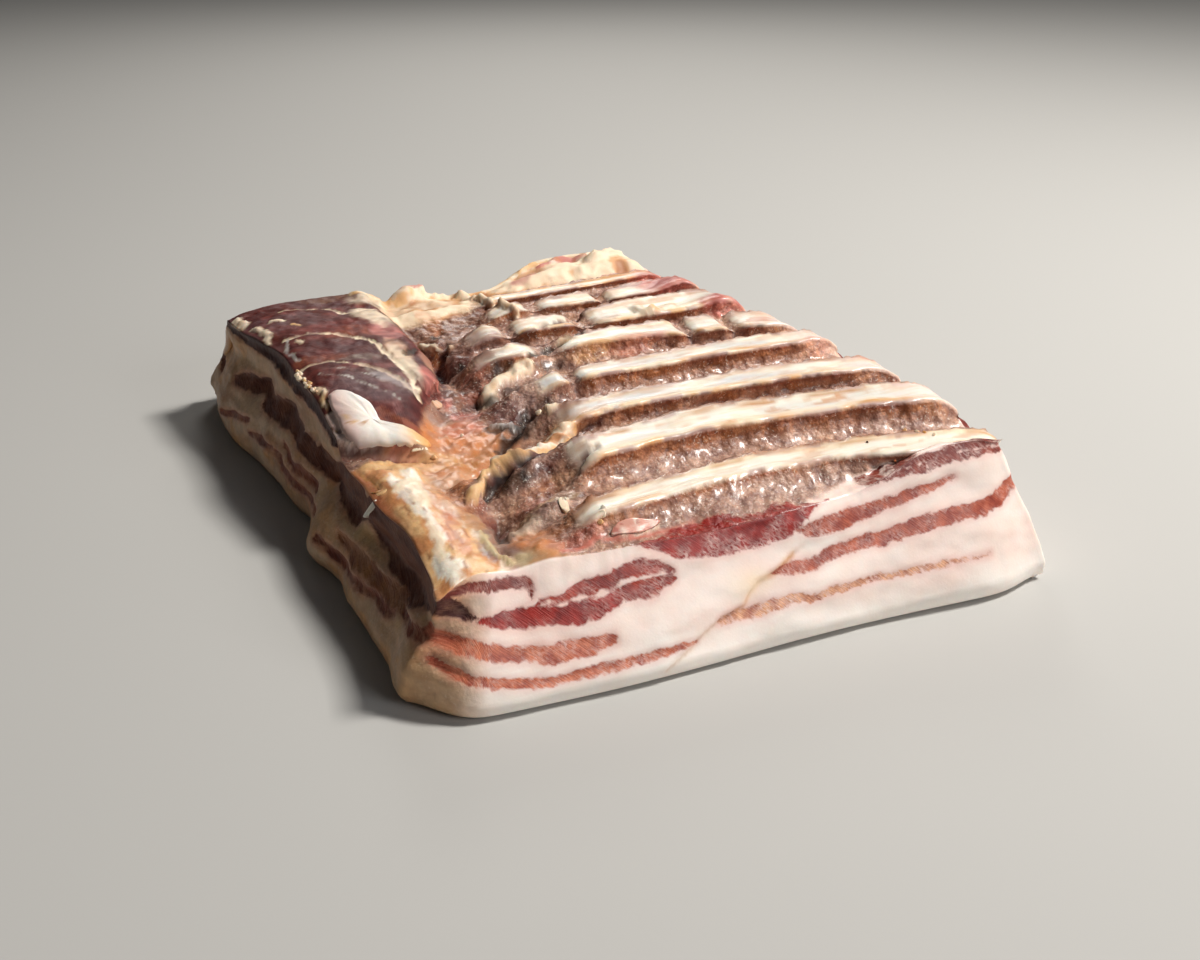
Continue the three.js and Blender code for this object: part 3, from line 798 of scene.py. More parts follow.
def paint_flap(tint, top):
    """The lean flap: dried muscle, wine-dark and purple with a grey bloom that is partly painted sheen, and
    its front end.
    """
    x, y = top.wx, top.wy
    colour = tint * 0 + np.array(linear("burgundy")[:3])
    colour = paint(colour, "dried", 0.45 + 0.8 * layered(x, 0.6 * y, 0, 16, 101))
    # Slate over the flap: partly a grey bloom, partly a painted sheen.
    colour = paint(colour, "slate", 0.5 * layered(x, y, 0, 10, 102))
    colour = paint(colour, "purple", 0.3 * smoothstep(noise(x, y, 0, 5, 103), 0.1, 0.7))
    tint = lerp(tint, colour, top.flap[..., None])
    chunk = smoothstep(band(x, y, CHUNK), -0.8, 0.8) * smoothstep(top.from_front, -3, -2)
    tint = paint(tint, "fat_pink", chunk * (1 - smoothstep(top.x, 20, 30)))
    wedge = smoothstep(band(x, y, WEDGE), -0.6, 0.6)
    tint = paint(tint, "rust", wedge)
    return paint(tint, "dried", wedge * 0.75 * hump(top.x, 34, 5))


def lay_lean(look, s, z, bands):
    """Lays bands of lean into a look: the deepest band at a place gives it its colour and its net."""
    ws, wz = warped(s, z, 0.9, 7, 121)
    for points, name, net in bands:
        depth = band(ws, wz, points)
        closer = depth > look["lean"]
        look["lean"] = np.where(closer, depth, look["lean"])
        look["lean_tint"] = np.where(closer[..., None], np.array(linear(name)[:3]), look["lean_tint"])
        look["marbling"] = np.where(closer, net, look["marbling"])


def paint_rim(tint, top, rim):
    """The rim's fat: butter yellow, with orange-brown streaks, ivory streaks that are partly painted
    highlights, and a few brown ones along it.
    """
    x, y = top.wx, top.wy
    tint = paint(tint, "butter", rim)
    tint = paint(tint, "hollow", 0.75 * rim * smoothstep(layered(1.6 * x, 0.8 * y, 0, 9, 112), -0.05, 0.3))
    # Ivory streaks: partly the fat's own colour, partly painted highlights.
    tint = paint(tint, "ivory", rim * smoothstep(layered(2 * x, 0.7 * y, 0, 10, 113), 0.05, 0.25))
    tint = paint(tint, "brown", 0.8 * rim * smoothstep(noise(4 * x, 0.9 * y, 0, 6, 111), 0.4, 0.65))
    return paint(tint, "rust", 0.7 * rim * (1 - smoothstep(top.x, 16, 20)) * smoothstep(y, 20, 40))


def paint_far_fat(tint, top):
    """The fat at the far edge: cream on its lumps, and orange and browner the lower a place lies between them:
    painted shade in the hollows between the lumps.
    """
    tint = paint(tint, "butter", 0.8 * top.far_fat)
    # Painted shade: orange and brown where the fat lies low between its lumps.
    tint = paint(tint, "hollow", 0.45 * top.far_fat * smoothstep(-top.far_lumps, -0.1, 0.25))
    tint = paint(tint, "cream", 0.9 * top.far_fat * smoothstep(top.far_lumps, -0.12, 0.12))
    return paint(tint, "brown", 0.7 * top.far_fat * smoothstep(-top.far_lumps, 0.16, 0.36))


def paint_patches(tint, top):
    """The soft patches, with ragged outlines. The hollow's colour stays off the flap."""
    ragged = 1 + 0.45 * layered(top.x, top.y, 0, 4, 118)
    mottle = 0.85 + 0.4 * noise(top.x, top.y, 0, 3, 114)
    for at_x, at_y, half_x, half_y, turn, name, strength in PATCHES:
        amount = smoothstep(oval(top.wx, top.wy, at_x, at_y, half_x, half_y, turn) * ragged, 0.28, 0.6)
        if name == "hollow":
            amount = amount * (1 - top.flap)
        tint = paint(tint, name, strength * amount * mottle)
    return tint


def paint_strands(tint, top):
    """The strands, lumps and pits in their colours, and how much of each place is a strand or a lump.

    Seams are broken here and there, pits are ragged, and what stands up is stained and has ivory spots, partly
    painted highlights.
    """
    x, y = top.wx, top.wy
    uneven = noise(top.x, top.y, 0, 2.2, 115)
    seam_strength = 0.45 + 0.5 * smoothstep(noise(x, y, 0, 6, 116), -0.5, 0.1)
    stained = smoothstep(layered(x, y, 0, 4, 119), 0, 0.5)
    bright = smoothstep(layered(x, y, 0, 5, 120), 0, 0.5)
    strands = 0 * top.x
    for points, rise, name in STRANDS + PITS:
        seam, pit = rise < 0 and name in ("cream", "membrane"), rise < -1
        depth = band(x, y, points) + (1.6 if pit else 0.6) * uneven
        inside = smoothstep(depth, -0.2 if seam else -0.4, 1.8 if pit else 0.6)
        inside = inside * (seam_strength if seam else 0.9)
        tint = paint(tint, name, inside)
        if rise > 1:
            tint = paint(tint, "stain", 0.55 * inside * stained)
            # Painted highlights: ivory spots on what stands up.
            tint = paint(tint, "ivory", 0.6 * inside * bright)
        strands = np.maximum(strands, inside * (rise > -1))
    return tint, strands


EDGE_BANDS = 3  # so many of the front cut's upper bands of lean reach the top
FLAP_LIFT = np.array((1.2, 1.35, 1.5))  # how much lighter the flap's ground is made, as its fibres darken it


def lay_top_lean(look, top, tint, strands, cut):
    """The lean that shows on the top: the cut's upper bands, the red band and the flap's dark parts."""
    lay_lean(look, top.x, top.z, LEAN[:EDGE_BANDS])
    look["lean"] = np.where(cut > 0.3, look["lean"], NO_LEAN)
    # The deep red band of the cut runs up over the edge, on to the foot of the wall.
    foot = 0.26 * plateau(top.x, 84, 138, 26) + 0.08 * noise(top.x, 0, 0, 5, 94) - 0.04 - top.t
    over = (top.ridge == 0) * (top.kind == 0) * (top.x > 70) * (top.x < 146)
    look["lean"] = np.where(over * (foot > -0.2) > 0, 14 * foot, look["lean"])
    look["lean_tint"] = np.where(over[..., None], np.array(linear("fresh")[:3]), look["lean_tint"])
    look["marbling"] = np.where(over, 0.5, look["marbling"])
    # The flap's dark parts have the lean's fibres.
    meat = top.flap * smoothstep(0.24 - tint[..., 0], 0, 0.06) * (1 - smoothstep(strands, 0.2, 0.5))
    look["lean"] = np.where(top.flap > 0, lerp(-3, 5, meat), look["lean"])
    look["lean_tint"] = lerp(look["lean_tint"], tint * FLAP_LIFT, top.flap[..., None])
    look["marbling"] = np.where(top.flap > 0, 0.35, look["marbling"])


def finish_top(look, top, strands, rim, cut):
    """How coarse, moist and streaked each place is. The walls are coarse, and dark dry places are dull."""
    strip = (top.kind == 1) * smoothstep(top.presence, 0.35, 0.7)
    corner = smoothstep(oval(top.wx, top.wy, 38, 20, 20, 34), 0.2, 0.6) * (1 - smoothstep(top.wx, 50, 64))
    smooth = np.maximum.reduce([strip, top.flap, 0.78 * rim, strands, 0.85 * top.hollow, 0.85 * corner])
    smooth = np.maximum.reduce([smooth, chunk_face(top), 0.95 * top.far_fat])
    look["coarse"] = np.minimum(1 - smooth, 1 - 0.9 * cut)
    moist = [0.6 * (1 - smooth), 0.06 * top.flap, 0.45 * strip, 0.4 * rim, 0.5 * top.hollow]
    bright = smoothstep(look["tint"].mean(-1), 0.02, 0.12)
    look["wet"] = np.clip(np.maximum.reduce(moist), 0, 1) * lerp(0.3, 1, bright)
    look["strip"] = np.maximum.reduce([0.75 * strip, 0.5 * rim, 0.9 * top.hollow])


def runs_on_top(top, rim):
    """Where each place lies along its streaks and fibres, in mm: in arcs on the flap, lengthwise on the rim
    and aslant in the hollow."""
    arc_y, arc_x = (top.y - 130) / 75, (top.x - 12) / 40
    angle, radius = np.arctan2(arc_y, arc_x), np.hypot(arc_y, arc_x)
    c, s = math.cos(math.radians(FIBRE_SLANT)), math.sin(math.radians(FIBRE_SLANT))
    flap_run = np.stack([60 * angle * c + 45 * radius * s, 45 * radius * c - 60 * angle * s, 0 * angle], -1)
    plain_run = np.stack([top.x, top.y, top.z], -1)
    rim_run = np.stack([top.y, 1.6 * top.x, 0 * top.x], -1)
    hollow_run = np.stack([0.8 * top.x + 0.6 * top.y, 1.5 * (0.8 * top.y - 0.6 * top.x), top.z], -1)
    run = np.where(top.hollow[..., None] > 0.5, hollow_run, plain_run)
    run = np.where(rim[..., None] > 0.5, rim_run, run)
    return np.where(top.flap[..., None] > 0.5, flap_run, run)


def top_look(top):
    """Colours and finish of the top."""
    look = blank_look(top.x.shape)
    rim = smoothstep(top.rim, 0.15, 0.6)
    tint = paint_walls(look["tint"], top)
    channel = 0.4 * (top.kind == 3) * smoothstep(top.x, 100, 130) * hump(top.t, 0.5, 0.4)
    tint = paint(tint, "lilac", channel)
    tint = paint_rim(tint, top, rim)
    tint = paint_far_fat(tint, top)
    tint = paint_strips(tint, top)
    tint = paint_flap(tint, top)
    tint = paint_patches(tint, top)
    tint, strands = paint_strands(tint, top)
    # Painted shadow: a dried-red line under the flap's front end, where its lower edge shades the hollow.
    under = hump(top.from_front, -4.2, 0.9) * smoothstep(top.x, 20, 24) * (1 - smoothstep(top.x, 42, 47))
    tint = paint(tint, "dried", under)
    # The grainy wall of the first ridge runs out to the right, above the cut.
    above = (top.x - 132) / 56 + 0.1 * layered(top.x, 0, top.z, 7, 117) - top.t
    cut = (top.ridge == 0) * (top.kind == 0) * smoothstep(above, -0.04, 0.04)
    tint = paint(tint, "fat_pink", cut)
    lay_top_lean(look, top, tint, strands, cut)
    look["tint"] = tint
    finish_top(look, top, strands, rim, cut)
    look["run"] = runs_on_top(top, rim)
    return look


# ---- The sides ----
def edge_of_top(grid):
    """A grid's edge, once round: the front from the left, the right side, the back, then the left side."""
    return np.concatenate([grid[:-1, 0], grid[-1, :-1], grid[:0:-1, -1], grid[0, :0:-1]])


def feet_of_edge(top):
    """For each point of the top's edge: the rind's edge below it, its outline without the ridges' ends, and
    the height at which the side gets to that."""

    def end(j, outline, y):
        edge = top[:, j]
        x = lerp(rind_left(y), rind_right(y), np.linspace(0, 1, COLUMNS + 1))
        return np.stack([x, outline(x), edge[:, 0], edge[:, 1], edge[:, 2]], -1)

    def side(i, share):
        edge = top[i]
        low = rind_front(lerp(rind_left(0), rind_right(0), share))
        high = rind_back(lerp(rind_left(DEPTH), rind_right(DEPTH), share))
        y = lerp(low, high, (edge[:, 1] - edge[0, 1]) / (edge[-1, 1] - edge[0, 1]))
        x = lerp(rind_left(y), rind_right(y), share)
        shoulder = lerp(top_left(edge[:, 1]), top_right(edge[:, 1]), share)
        level = lerp(edge[:, 2], floor_height(edge[:, 0]) + RIDGES[0]["rise"] / 2, share)
        return np.stack([x, y, shoulder, edge[:, 1], level], -1)

    front, back = end(0, rind_front, 0), end(-1, rind_back, DEPTH)
    right, left = side(-1, 1), side(0, 0)
    return np.concatenate([front[:-1], right[:-1], back[:0:-1], left[:0:-1]])


SHARES = np.concatenate([[0, 0.01, 0.025, 0.045, 0.07, 0.1], np.linspace(0.13, 0.97, SIDE_RINGS), [0.99]])
OUTLINE_SPAN = 12  # points to each side over which the outline's direction is taken
CORNERS = np.cumsum([0, COLUMNS, ROWS - 1, COLUMNS, ROWS - 1])


class Side:
    """The rings between the rind and the top's edge, as (ring, point) arrays, without relief."""

    def __init__(self, top):
        feet = feet_of_edge(top)
        edge = edge_of_top(top)
        foot, shoulder, level = feet[:, :2], feet[:, 2:4], feet[:, 4]
        along = np.roll(foot, -OUTLINE_SPAN, 0) - np.roll(foot, OUTLINE_SPAN, 0)
        along /= np.linalg.norm(along, axis=1, keepdims=True)
        self.out = np.stack([along[:, 1], -along[:, 0]], -1)
        self.left = smoothstep(-self.out[:, 0], 0.35, 0.75)
        share = SHARES[:, None]
        layers = SWELL * (hump(share, 0.3, 0.2) - hump(share, 0.72, 0.12))
        swell = self.left * layers * (1 + 0.4 * ripple(edge[:, 1] * 2, 30))
        wave = smoothstep(share, 0, 0.13) * 0.6 * ripple(foot[:, 0] + foot[:, 1], 90 * share)
        height = share * edge[:, 2]
        t = (height / level) ** 1.25
        place = lerp(foot, shoulder, t[..., None])
        push = swell + wave - np.interp(share, INSET_SHARES, INSETS)
        self.points = np.concatenate([place + self.out * push[..., None], height[..., None]], -1)
        self.share = np.broadcast_to(share, t.shape)
        self.z = self.points[..., 2]
        self.s = self.way_round()

    def way_round(self):
        """How far along the side a point lies, in mm: x on the front, more round the right side and the back,
        and less than 0 back along the left side."""
        x, y = self.points[..., 0], self.points[..., 1]
        right, back, left = CORNERS[1], CORNERS[2], CORNERS[3]
        s = x.copy()
        s[:, right:back] = x[:, right : right + 1] + y[:, right:back] - y[:, right : right + 1]
        s[:, back:left] = s[:, back - 1 : back] + 1 + x[:, back : back + 1] - x[:, back:left]
        s[:, left:] = x[:, :1] + y[:, :1] - y[:, left:]
        return s


# Lean in the cuts: a line of (s, z, half thickness), its colour, and the pale net in it.
LEAN = [
    # The front cut, from the top down.
    ([(76, 38.5, 0.8), (83, 37.2, 2), (92, 35.3, 3.3), (103, 35, 4.2), (115, 35.5, 4.9), (126, 37, 4.6),
      (133, 39, 2.8), (141, 41.4, 0.8)], "fresh", 0.6),
    ([(160, 44.2, 0.4), (170, 46, 1.1), (183, 47.8, 1.4), (196, 49.2, 1.5), (207, 49.6, 1.2), (215, 48.2, 1)],
     "claret", 0.4),
    ([(157, 42.4, 0.4), (168, 43.5, 0.9), (182, 45, 1.1), (195, 46.4, 1.1), (207, 46.9, 0.9), (214, 46, 0.6)],
     "purple", 0.6),
    ([(131, 34, 0.8), (137, 32.8, 2.6), (146, 33.8, 2.8), (156, 34.8, 2.3), (166, 36.3, 1.7),
      (179, 38.2, 1.6), (191, 40.4, 0.7)], "rose", 0.5),
    ([(119, 23, 0.4), (127, 23.5, 1.6), (137, 23.8, 1.6), (146, 25.4, 1.8), (161, 26.2, 2), (176, 28.4, 2.3),
      (187, 29, 2.3), (199, 30, 2.2), (208, 31.8, 2.2), (215.5, 35.4, 1.9)], "rose", 0.4),
    ([(8, 17, 1), (12, 14, 1.3), (18, 12, 1.4), (27, 9.8, 1.4), (36, 8.6, 1.3), (44, 8.2, 1.2),
      (57, 8.6, 1.4), (66, 9, 1.4), (75, 9.2, 1.3), (83, 9.2, 0.9), (90, 10, 0.4)], "salmon", 0.45),
    ([(99, 13.5, 1.5), (104, 14.2, 1.8), (112, 13.6, 1.7), (118, 14.5, 1.6), (125, 14.6, 1.5), (134, 14, 1.2),
      (148, 14.8, 1), (161, 15.2, 0.9), (173, 15.5, 0.9), (186, 15.6, 0.7), (200, 16, 0.4)], "pale", 0.8),
    ([(24, 25.5, 0.6), (30, 25, 2), (37, 24.6, 2.4), (45, 23.8, 2.3), (53, 23.6, 2.5), (60, 24, 2.1),
      (67, 25.4, 1.7)], "fresh", 0.25),
    ([(43, 27.6, 0.4), (50, 28, 1), (57, 29, 1.9), (63, 29.8, 2), (67, 30, 1.9)], "blood", 0.35),
    ([(68, 31.5, 1.6), (75, 31.8, 2.2), (81, 31.2, 2), (86, 29.5, 0.8)], "blood", 0.45),
    ([(68, 26.5, 1.5), (73, 26, 2.6), (79, 26.3, 2.3), (86, 27, 0.7)], "blood", 0.45),
    ([(11, 31.5, 2.2), (15, 30.5, 3.2), (20, 28.3, 2), (23.5, 26.2, 0.6)], "plum", 0.35),
    ([(14, 35.2, 0.9), (20, 34.8, 1.4), (28, 34.1, 1.4), (36, 33.4, 1.5), (41, 32.6, 1.6)], "claret", 0.3),
    ([(41.5, 32, 1.2), (41, 29, 0.7)], "claret", 0.3),
    ([(8, 22.5, 2), (14, 21, 2.2), (20, 19.5, 2), (30, 17, 2), (43, 15, 2.2), (54, 14.8, 2.4),
      (62, 15.5, 1.6)], "salmon", 0.5),
    # The left side: dark lean under the top edge, front to back.
    ([(8, 31, 3), (0, 30.5, 6), (-14, 29, 8), (-34, 30, 8), (-52, 31, 7), (-62, 32, 4.5)], "mahogany", 0.15),
    ([(-64, 29, 3), (-72, 28.5, 6), (-86, 28.5, 6), (-98, 28.5, 5), (-106, 28, 3)], "mahogany", 0.15),
    ([(-104, 26, 3), (-116, 27, 3.8), (-124, 27, 3)], "mahogany", 0.15),
    ([(-126, 25.5, 2.4), (-140, 26.5, 2.8), (-152, 27, 2)], "mahogany", 0.155),
    ([(-144, 28.5, 2), (-152, 29, 3), (-168, 28.5, 3.6), (-182, 27, 3.4), (-192, 25, 1.8)], "mahogany", 0.15),
    ([(-184, 30, 1), (-192, 29.5, 2.2), (-205, 28, 2.6), (-218, 26, 2.2), (-228, 24.5, 1.2)],
     "mahogany", 0.15),
    ([(-256, 21, 2), (-262, 24, 2.6)], "mahogany", 0.15),
    ([(-102, 39, 2), (-126, 42, 2.6), (-160, 43, 3.2), (-200, 43.6, 3.2), (-240, 42.4, 2.8), (-262, 41, 2)],
     "burgundy", 0.2),
    # Its brown-red strips in the fat.
    ([(-203, 17, 0.9), (-217, 14.5, 1.4), (-235, 10, 1.2)], "rust", 0.3),
    ([(-173, 16, 0.8), (-190, 13.5, 1.6), (-202, 12, 0.9)], "rust", 0.3),
    ([(-115, 13, 1), (-136, 13, 1.4), (-154, 13.4, 1.6), (-171, 15, 1)], "rust", 0.4),
    ([(-122, 18, 1.2), (-133, 19, 1.8), (-148, 18.2, 1.7), (-163, 20, 1)], "rust", 0.4),
    ([(-22, 17, 0.9), (-37, 15, 1.2), (-52, 14, 1.2), (-68, 11.5, 1.3), (-82, 11, 1.5), (-100, 11, 1)],
     "rust", 0.4),
    ([(-18, 20.5, 1.8), (-31, 19, 2.4), (-48, 18, 2.2), (-68, 16.5, 2.2), (-84, 17, 1.4)], "brown", 0.6),
    ([(9, 21.5, 1.4), (4, 20.6, 1), (-8, 19.5, 0.8), (-22, 20, 1)], "rust", 0.6),
    # The right side.
    ([(216, 45.5, 2), (235, 43, 2.6), (262, 41.5, 3), (300, 40.5, 3.4), (340, 40, 3), (380, 39.5, 3.5),
      (430, 38.5, 3), (480, 38, 3.2), (505, 37, 3)], "claret", 0.5),
    ([(217, 36.5, 1.8), (235, 34, 2), (265, 31, 2.6), (310, 29, 3), (355, 27.5, 2.4), (400, 27, 3),
      (450, 28, 2.6), (505, 27, 2.4)], "rose", 0.6),
    ([(240, 15, 0.8), (280, 14, 1.3), (330, 13, 1.6), (380, 13.5, 1.2), (430, 14, 1.8), (480, 13, 1.6),
      (510, 12.5, 1.4)], "flesh", 0.7),
    # The back.
    ([(510, 37, 3), (550, 37, 4), (600, 36, 4.6), (650, 35, 4), (700, 34, 3.6), (745, 33, 3)], "claret", 0.4),
    ([(510, 27, 2.4), (560, 26, 3.4), (600, 24, 3), (660, 23, 3.6), (720, 22, 3), (745, 22, 2.6)],
     "rose", 0.6),
    ([(510, 12.5, 1.4), (560, 12, 2), (620, 11, 1.6), (680, 12, 2), (745, 13, 1.6)], "flesh", 0.7),
]
# The knife's crease across the front cut.
CREASE = [(128, 27), (120, 23), (114, 22), (110, 19), (108, 16), (99, 14), (92, 11), (87, 8), (78, 4)]


def side_look(side):
    """Colours and finish of the cut sides: firm fat, pinkish above and white below, with bands of lean; the
    left side is aged tan, partly painted shade.
    """
    look = blank_look(side.s.shape)
    s, z = side.s, side.z
    x, y = side.points[..., 0], side.points[..., 1]
    front = (s > 0) * (s < FRONT_END) * 1.0
    tint = paint(look["tint"], "fat_white", smoothstep(9 + 4 * layered(s, z, 0, 18, 122) - z, -5, 5) * 0.9)
    tint = paint(tint, "fat_white", 0.35 + 0.6 * layered(s, 2 * z, 0, 20, 123))
    left = side.left[None] * np.ones_like(s)
    # On the left side the fat is aged tan with brown and golden streaks: partly its own colour, partly painted
    # shade, darker as the left face is turned from the light.
    tint = paint(tint, "aged_fat_and_shade", left * (0.85 + 0.3 * layered(x, y, z, 16, 124)))
    tint = paint(tint, "brown", left * 0.5 * smoothstep(layered(x, 0.6 * y, 2 * z, 12, 126), 0, 0.5))
    tint = paint(tint, "fat_golden", left * 0.5 * smoothstep(layered(x, y, 2 * z, 12, 125), 0, 0.5))
    near = smoothstep(y, 10, 25) * (1 - smoothstep(y, 85, 100))
    tint = paint(tint, "olive", left * 0.35 * hump(z, 22, 4) * near)
    tint = paint(tint, "aged_fat_and_shade", 0.6 * hump(s, 2, 6) * (0.5 + 0.5 * smoothstep(z, 8, 20)))
    corner = 0.5 * smoothstep(s, FRONT_END - 7, FRONT_END) * front
    tint = paint(tint, "fat_golden", corner * smoothstep(z, 30, 40))
    crease = np.abs(beside(s, z, CREASE))
    tip = hump(s, 120, 12)
    tint = paint(tint, "fat_golden", front * (0.15 + 0.6 * tip) * (1 - smoothstep(crease, 0.2, 1.8)))
    tint = paint(tint, "stain", front * (0.3 + 0.3 * tip) * (1 - smoothstep(crease, 0, 0.7)))
    tint = paint(tint, "cream", front * 0.8 * oval(s, z, 112, 22, 7, 3.4))
    lay_lean(look, s, z, LEAN)
    # A pink halo where the lean's colour has gone into the fat.
    tint = paint(tint, "blush", 0.35 * smoothstep(look["lean"], -2.2, 0.3))
    look["tint"] = tint
    look["coarse"] = 0.03 + 0.3 * left
    look["wet"] = 0.3 - 0.25 * left
    look["run"] = np.stack([s * (1 - 0.65 * left), z, 0 * s], -1)
    return look


def side_relief(side, look):
    """How far the sides stand out, in mm: lean lies in, the fat left of the knife's crease stands proud, and
    the left side has lumps and wrinkles."""
    s, z, left = side.s, side.z, side.left[None]
    x, y = side.points[..., 0], side.points[..., 1]
    lean = smoothstep(look["lean"], -0.6, 1)
    out = -lean * (0.3 + 0.8 * left)
    crease = beside(s, z, CREASE)
    step = smoothstep(crease, 0, 0.9) * smoothstep(s, 60, 100) * (1 - smoothstep(s, 118, 150))
    out = out - 0.9 * step * (1 - smoothstep(np.abs(crease), 3, 12))
    out = out - 0.6 * (1 - smoothstep(np.abs(crease), 0, 0.8)) * (s > 60) * (s < 140)
    out = out + 0.3 * layered(s, 2 * z, 0, 14, 131) + 0.16 * noise(s / 2, z, 0, 2.6, 132)
    wrinkles = 0.5 * noise(0.4 * x, 0.4 * y, 2.4 * z, 6, 134)
    out = out + left * (1.1 * layered(x, y, 1.4 * z, 14, 133) + wrinkles)
    right = smoothstep(s, 219, 232) * (1 - smoothstep(s, 470, 500))
    out = out + right * (4 * hump(side.share, 0.8, 0.2) + 0.8 * hump(s, 226, 5) * hump(z, 44, 3))
    out = out + smoothstep(s, 225, 240) * (0.5 * layered(x, y, 1.4 * z, 14, 135))
    return out * smoothstep(side.share, 0, 0.1) * (1 - smoothstep(side.share, 0.93, 1))


# ---- The closed surface ----
def closed_surface():
    """Points in mm, quads, the triangles round the rind's middle, the number of quads before the rind's, and
    the attributes, point by point."""
    plain = plain_top()
    top = Top(plain)
    moved = top_relief(top)
    side = Side(plain)
    look = side_look(side)
    push = side_relief(side, look)
    # The side takes up the edge's own move over its upper part.
    upper = smoothstep(side.share, 0.7, 1)[..., None]
    rings = side.points + edge_of_top(moved)[None] * upper
    rings[..., :2] += side.out[None] * push[..., None]
    rings[..., 2] = np.maximum(rings[..., 2], 0)
    count = rings.shape[1]
    top_points = (plain + moved).reshape(-1, 3)
    hub = np.array([WIDTH / 2, DEPTH / 2, 0.0])
    shares = np.arange(1, RIND_RINGS)[:, None, None] / RIND_RINGS
    rind = lerp(rings[0][None], hub, shares)
    points = np.concatenate([top_points, rings.reshape(-1, 3), rind.reshape(-1, 3), hub[None]])
    index = np.arange((COLUMNS + 1) * ROWS).reshape(COLUMNS + 1, ROWS)
    quads = [np.stack([index[:-1, :-1], index[1:, :-1], index[1:, 1:], index[:-1, 1:]], -1).reshape(-1, 4)]
    first = len(top_points)
    levels = np.arange(len(rings) * count).reshape(-1, count) + first
    levels = np.concatenate([levels, edge_of_top(index[..., None])[:, 0][None]])
    after = np.roll(levels, -1, 1)
    quads.append(np.stack([levels[:-1], after[:-1], after[1:], levels[1:]], -1).reshape(-1, 4))
    start = first + len(rings) * count
    flat = np.arange((RIND_RINGS - 1) * count).reshape(-1, count) + start
    flat = np.concatenate([levels[:1], flat])
    after = np.roll(flat, -1, 1)
    quads.append(np.stack([flat[:-1], flat[1:], after[1:], after[:-1]], -1).reshape(-1, 4))
    rind_quad = sum(len(q) for q in quads[:2])
    fan = np.stack([flat[-1], np.full(count, len(points) - 1), after[-1]], -1)
    above = top_look(top)
    below = blank_look((len(points) - start,))
    looks = {}
    for name, values in above.items():
        width = values.shape[2:]
        parts = [values.reshape(-1, *width), look[name].reshape(-1, *width), below[name].reshape(-1, *width)]
        looks[name] = np.concatenate(parts)
    return points, np.concatenate(quads), fan, rind_quad, looks


# ---- Flakes and crumbs that lie on the slab ----
# Each is an outline of (x, y, z), how thick it is, its colour, and whether it is laid on the top, where the
# z is worked out anew.
FLAKES = [
    ([(19, 143, 46), (24, 143, 47), (27.5, 138, 47), (31, 130, 46), (31.5, 120, 44), (33, 112.5, 42),
      (37, 109.5, 40), (41, 109, 39), (45.5, 108.5, 37), (44, 105.5, 36), (41, 103.5, 36), (35, 105.5, 36),
      (27, 109.5, 38), (20, 113, 39), (17.5, 119, 40), (18, 128, 42), (18, 136, 44)], 1.7, "fat_white", True),
    ([(37, 103.5, 37), (40, 104.5, 38), (43, 104, 37), (42.5, 102.6, 36), (40, 102.8, 35)],
     0.6, "cream", True),
    ([(71, 11, 42), (74, 13, 44), (80, 13.2, 44), (85, 12.8, 43), (88, 11.8, 41), (84, 10, 40), (79, 9.6, 40),
      (74, 10, 41)], 0.35, "pale", True),
    ([(12.6, 80, 27), (14, 76.5, 32), (15.6, 74.4, 35), (14.8, 73.4, 33), (13, 76, 29)], 0.4, "ivory", False),
    ([(15, 82, 34), (17, 78, 36), (21, 76.5, 37), (18.4, 75.5, 36), (15.4, 77.4, 34)], 0.5, "butter", False),
    ([(64, 35, 39), (67, 37, 39), (66, 32, 41), (64, 31, 40)], 0.8, "cream", True),
    ([(57, 141, 40), (60, 146, 39), (62, 145, 36), (58.5, 139, 37)], 0.8, "flesh", True),
]
# Crumbs on the top: middle, half size and colour.
CRUMBS = [
    (110, 20, 0.35, "orange"), (169, 21, 0.35, "near_black_and_shade"), (172, 9, 0.35, "orange"),
    (197, 39, 0.8, "butter"), (188, 20, 0.7, "butter"), (190, 18.5, 0.6, "fat_golden"),
    (192, 16, 0.7, "cream"), (70.5, 16.5, 1.3, "cream"), (72, 18.4, 1, "ivory"),
    (69, 14.5, 0.8, "butter"), (66, 35.5, 0.9, "cream"), (44, 100, 0.9, "butter"),
    (60, 116, 0.8, "cream"), (91, 118, 1.1, "cream"), (104, 158, 1, "cream"),
]
CRUMB_ROW = dict(start=(15.5, 150), stop=(14, 176), count=16, spread=1.6)  # at the flap's left margin
CRUMB_SIDES = 7
TOWARDS = np.array([-0.6, -0.5, 0.6])  # every flake faces more or less this way
SINK = 1.5  # mm, how deep a flake goes in below its rim
SETTLE = 2.0  # mm round a place over which the height under it is averaged
LIFT = 0.2  # mm above that average, so that nothing under a flake comes through it
# A flake's rings, from its rim up and in: share of the way out from its middle, and rise in thicknesses.
FLAKE_RINGS = ((1, 0.2), (0.97, 0.8), (0.9, 1), (0.75, 1.02), (0.55, 1.05), (0.3, 1.1))


def refined(outline, step):
    """A closed outline as a smooth curve through its corners, with a point about every `step` mm."""
    corners = np.array(outline, float)
    before, after, beyond = (np.roll(corners, k, 0) for k in (1, -1, -2))
    pieces = []
    for p0, p1, p2, p3 in zip(before, corners, after, beyond):
        count = max(2, round(np.linalg.norm(p2 - p1) / step))
        t = (np.arange(count) / count)[:, None]
        curve = 2 * p1 + (p2 - p0) * t + (2 * p0 - 5 * p1 + 4 * p2 - p3) * t**2
        pieces.append((curve + (3 * p1 - p0 - 3 * p2 + p3) * t**3) / 2)
    return np.concatenate(pieces)


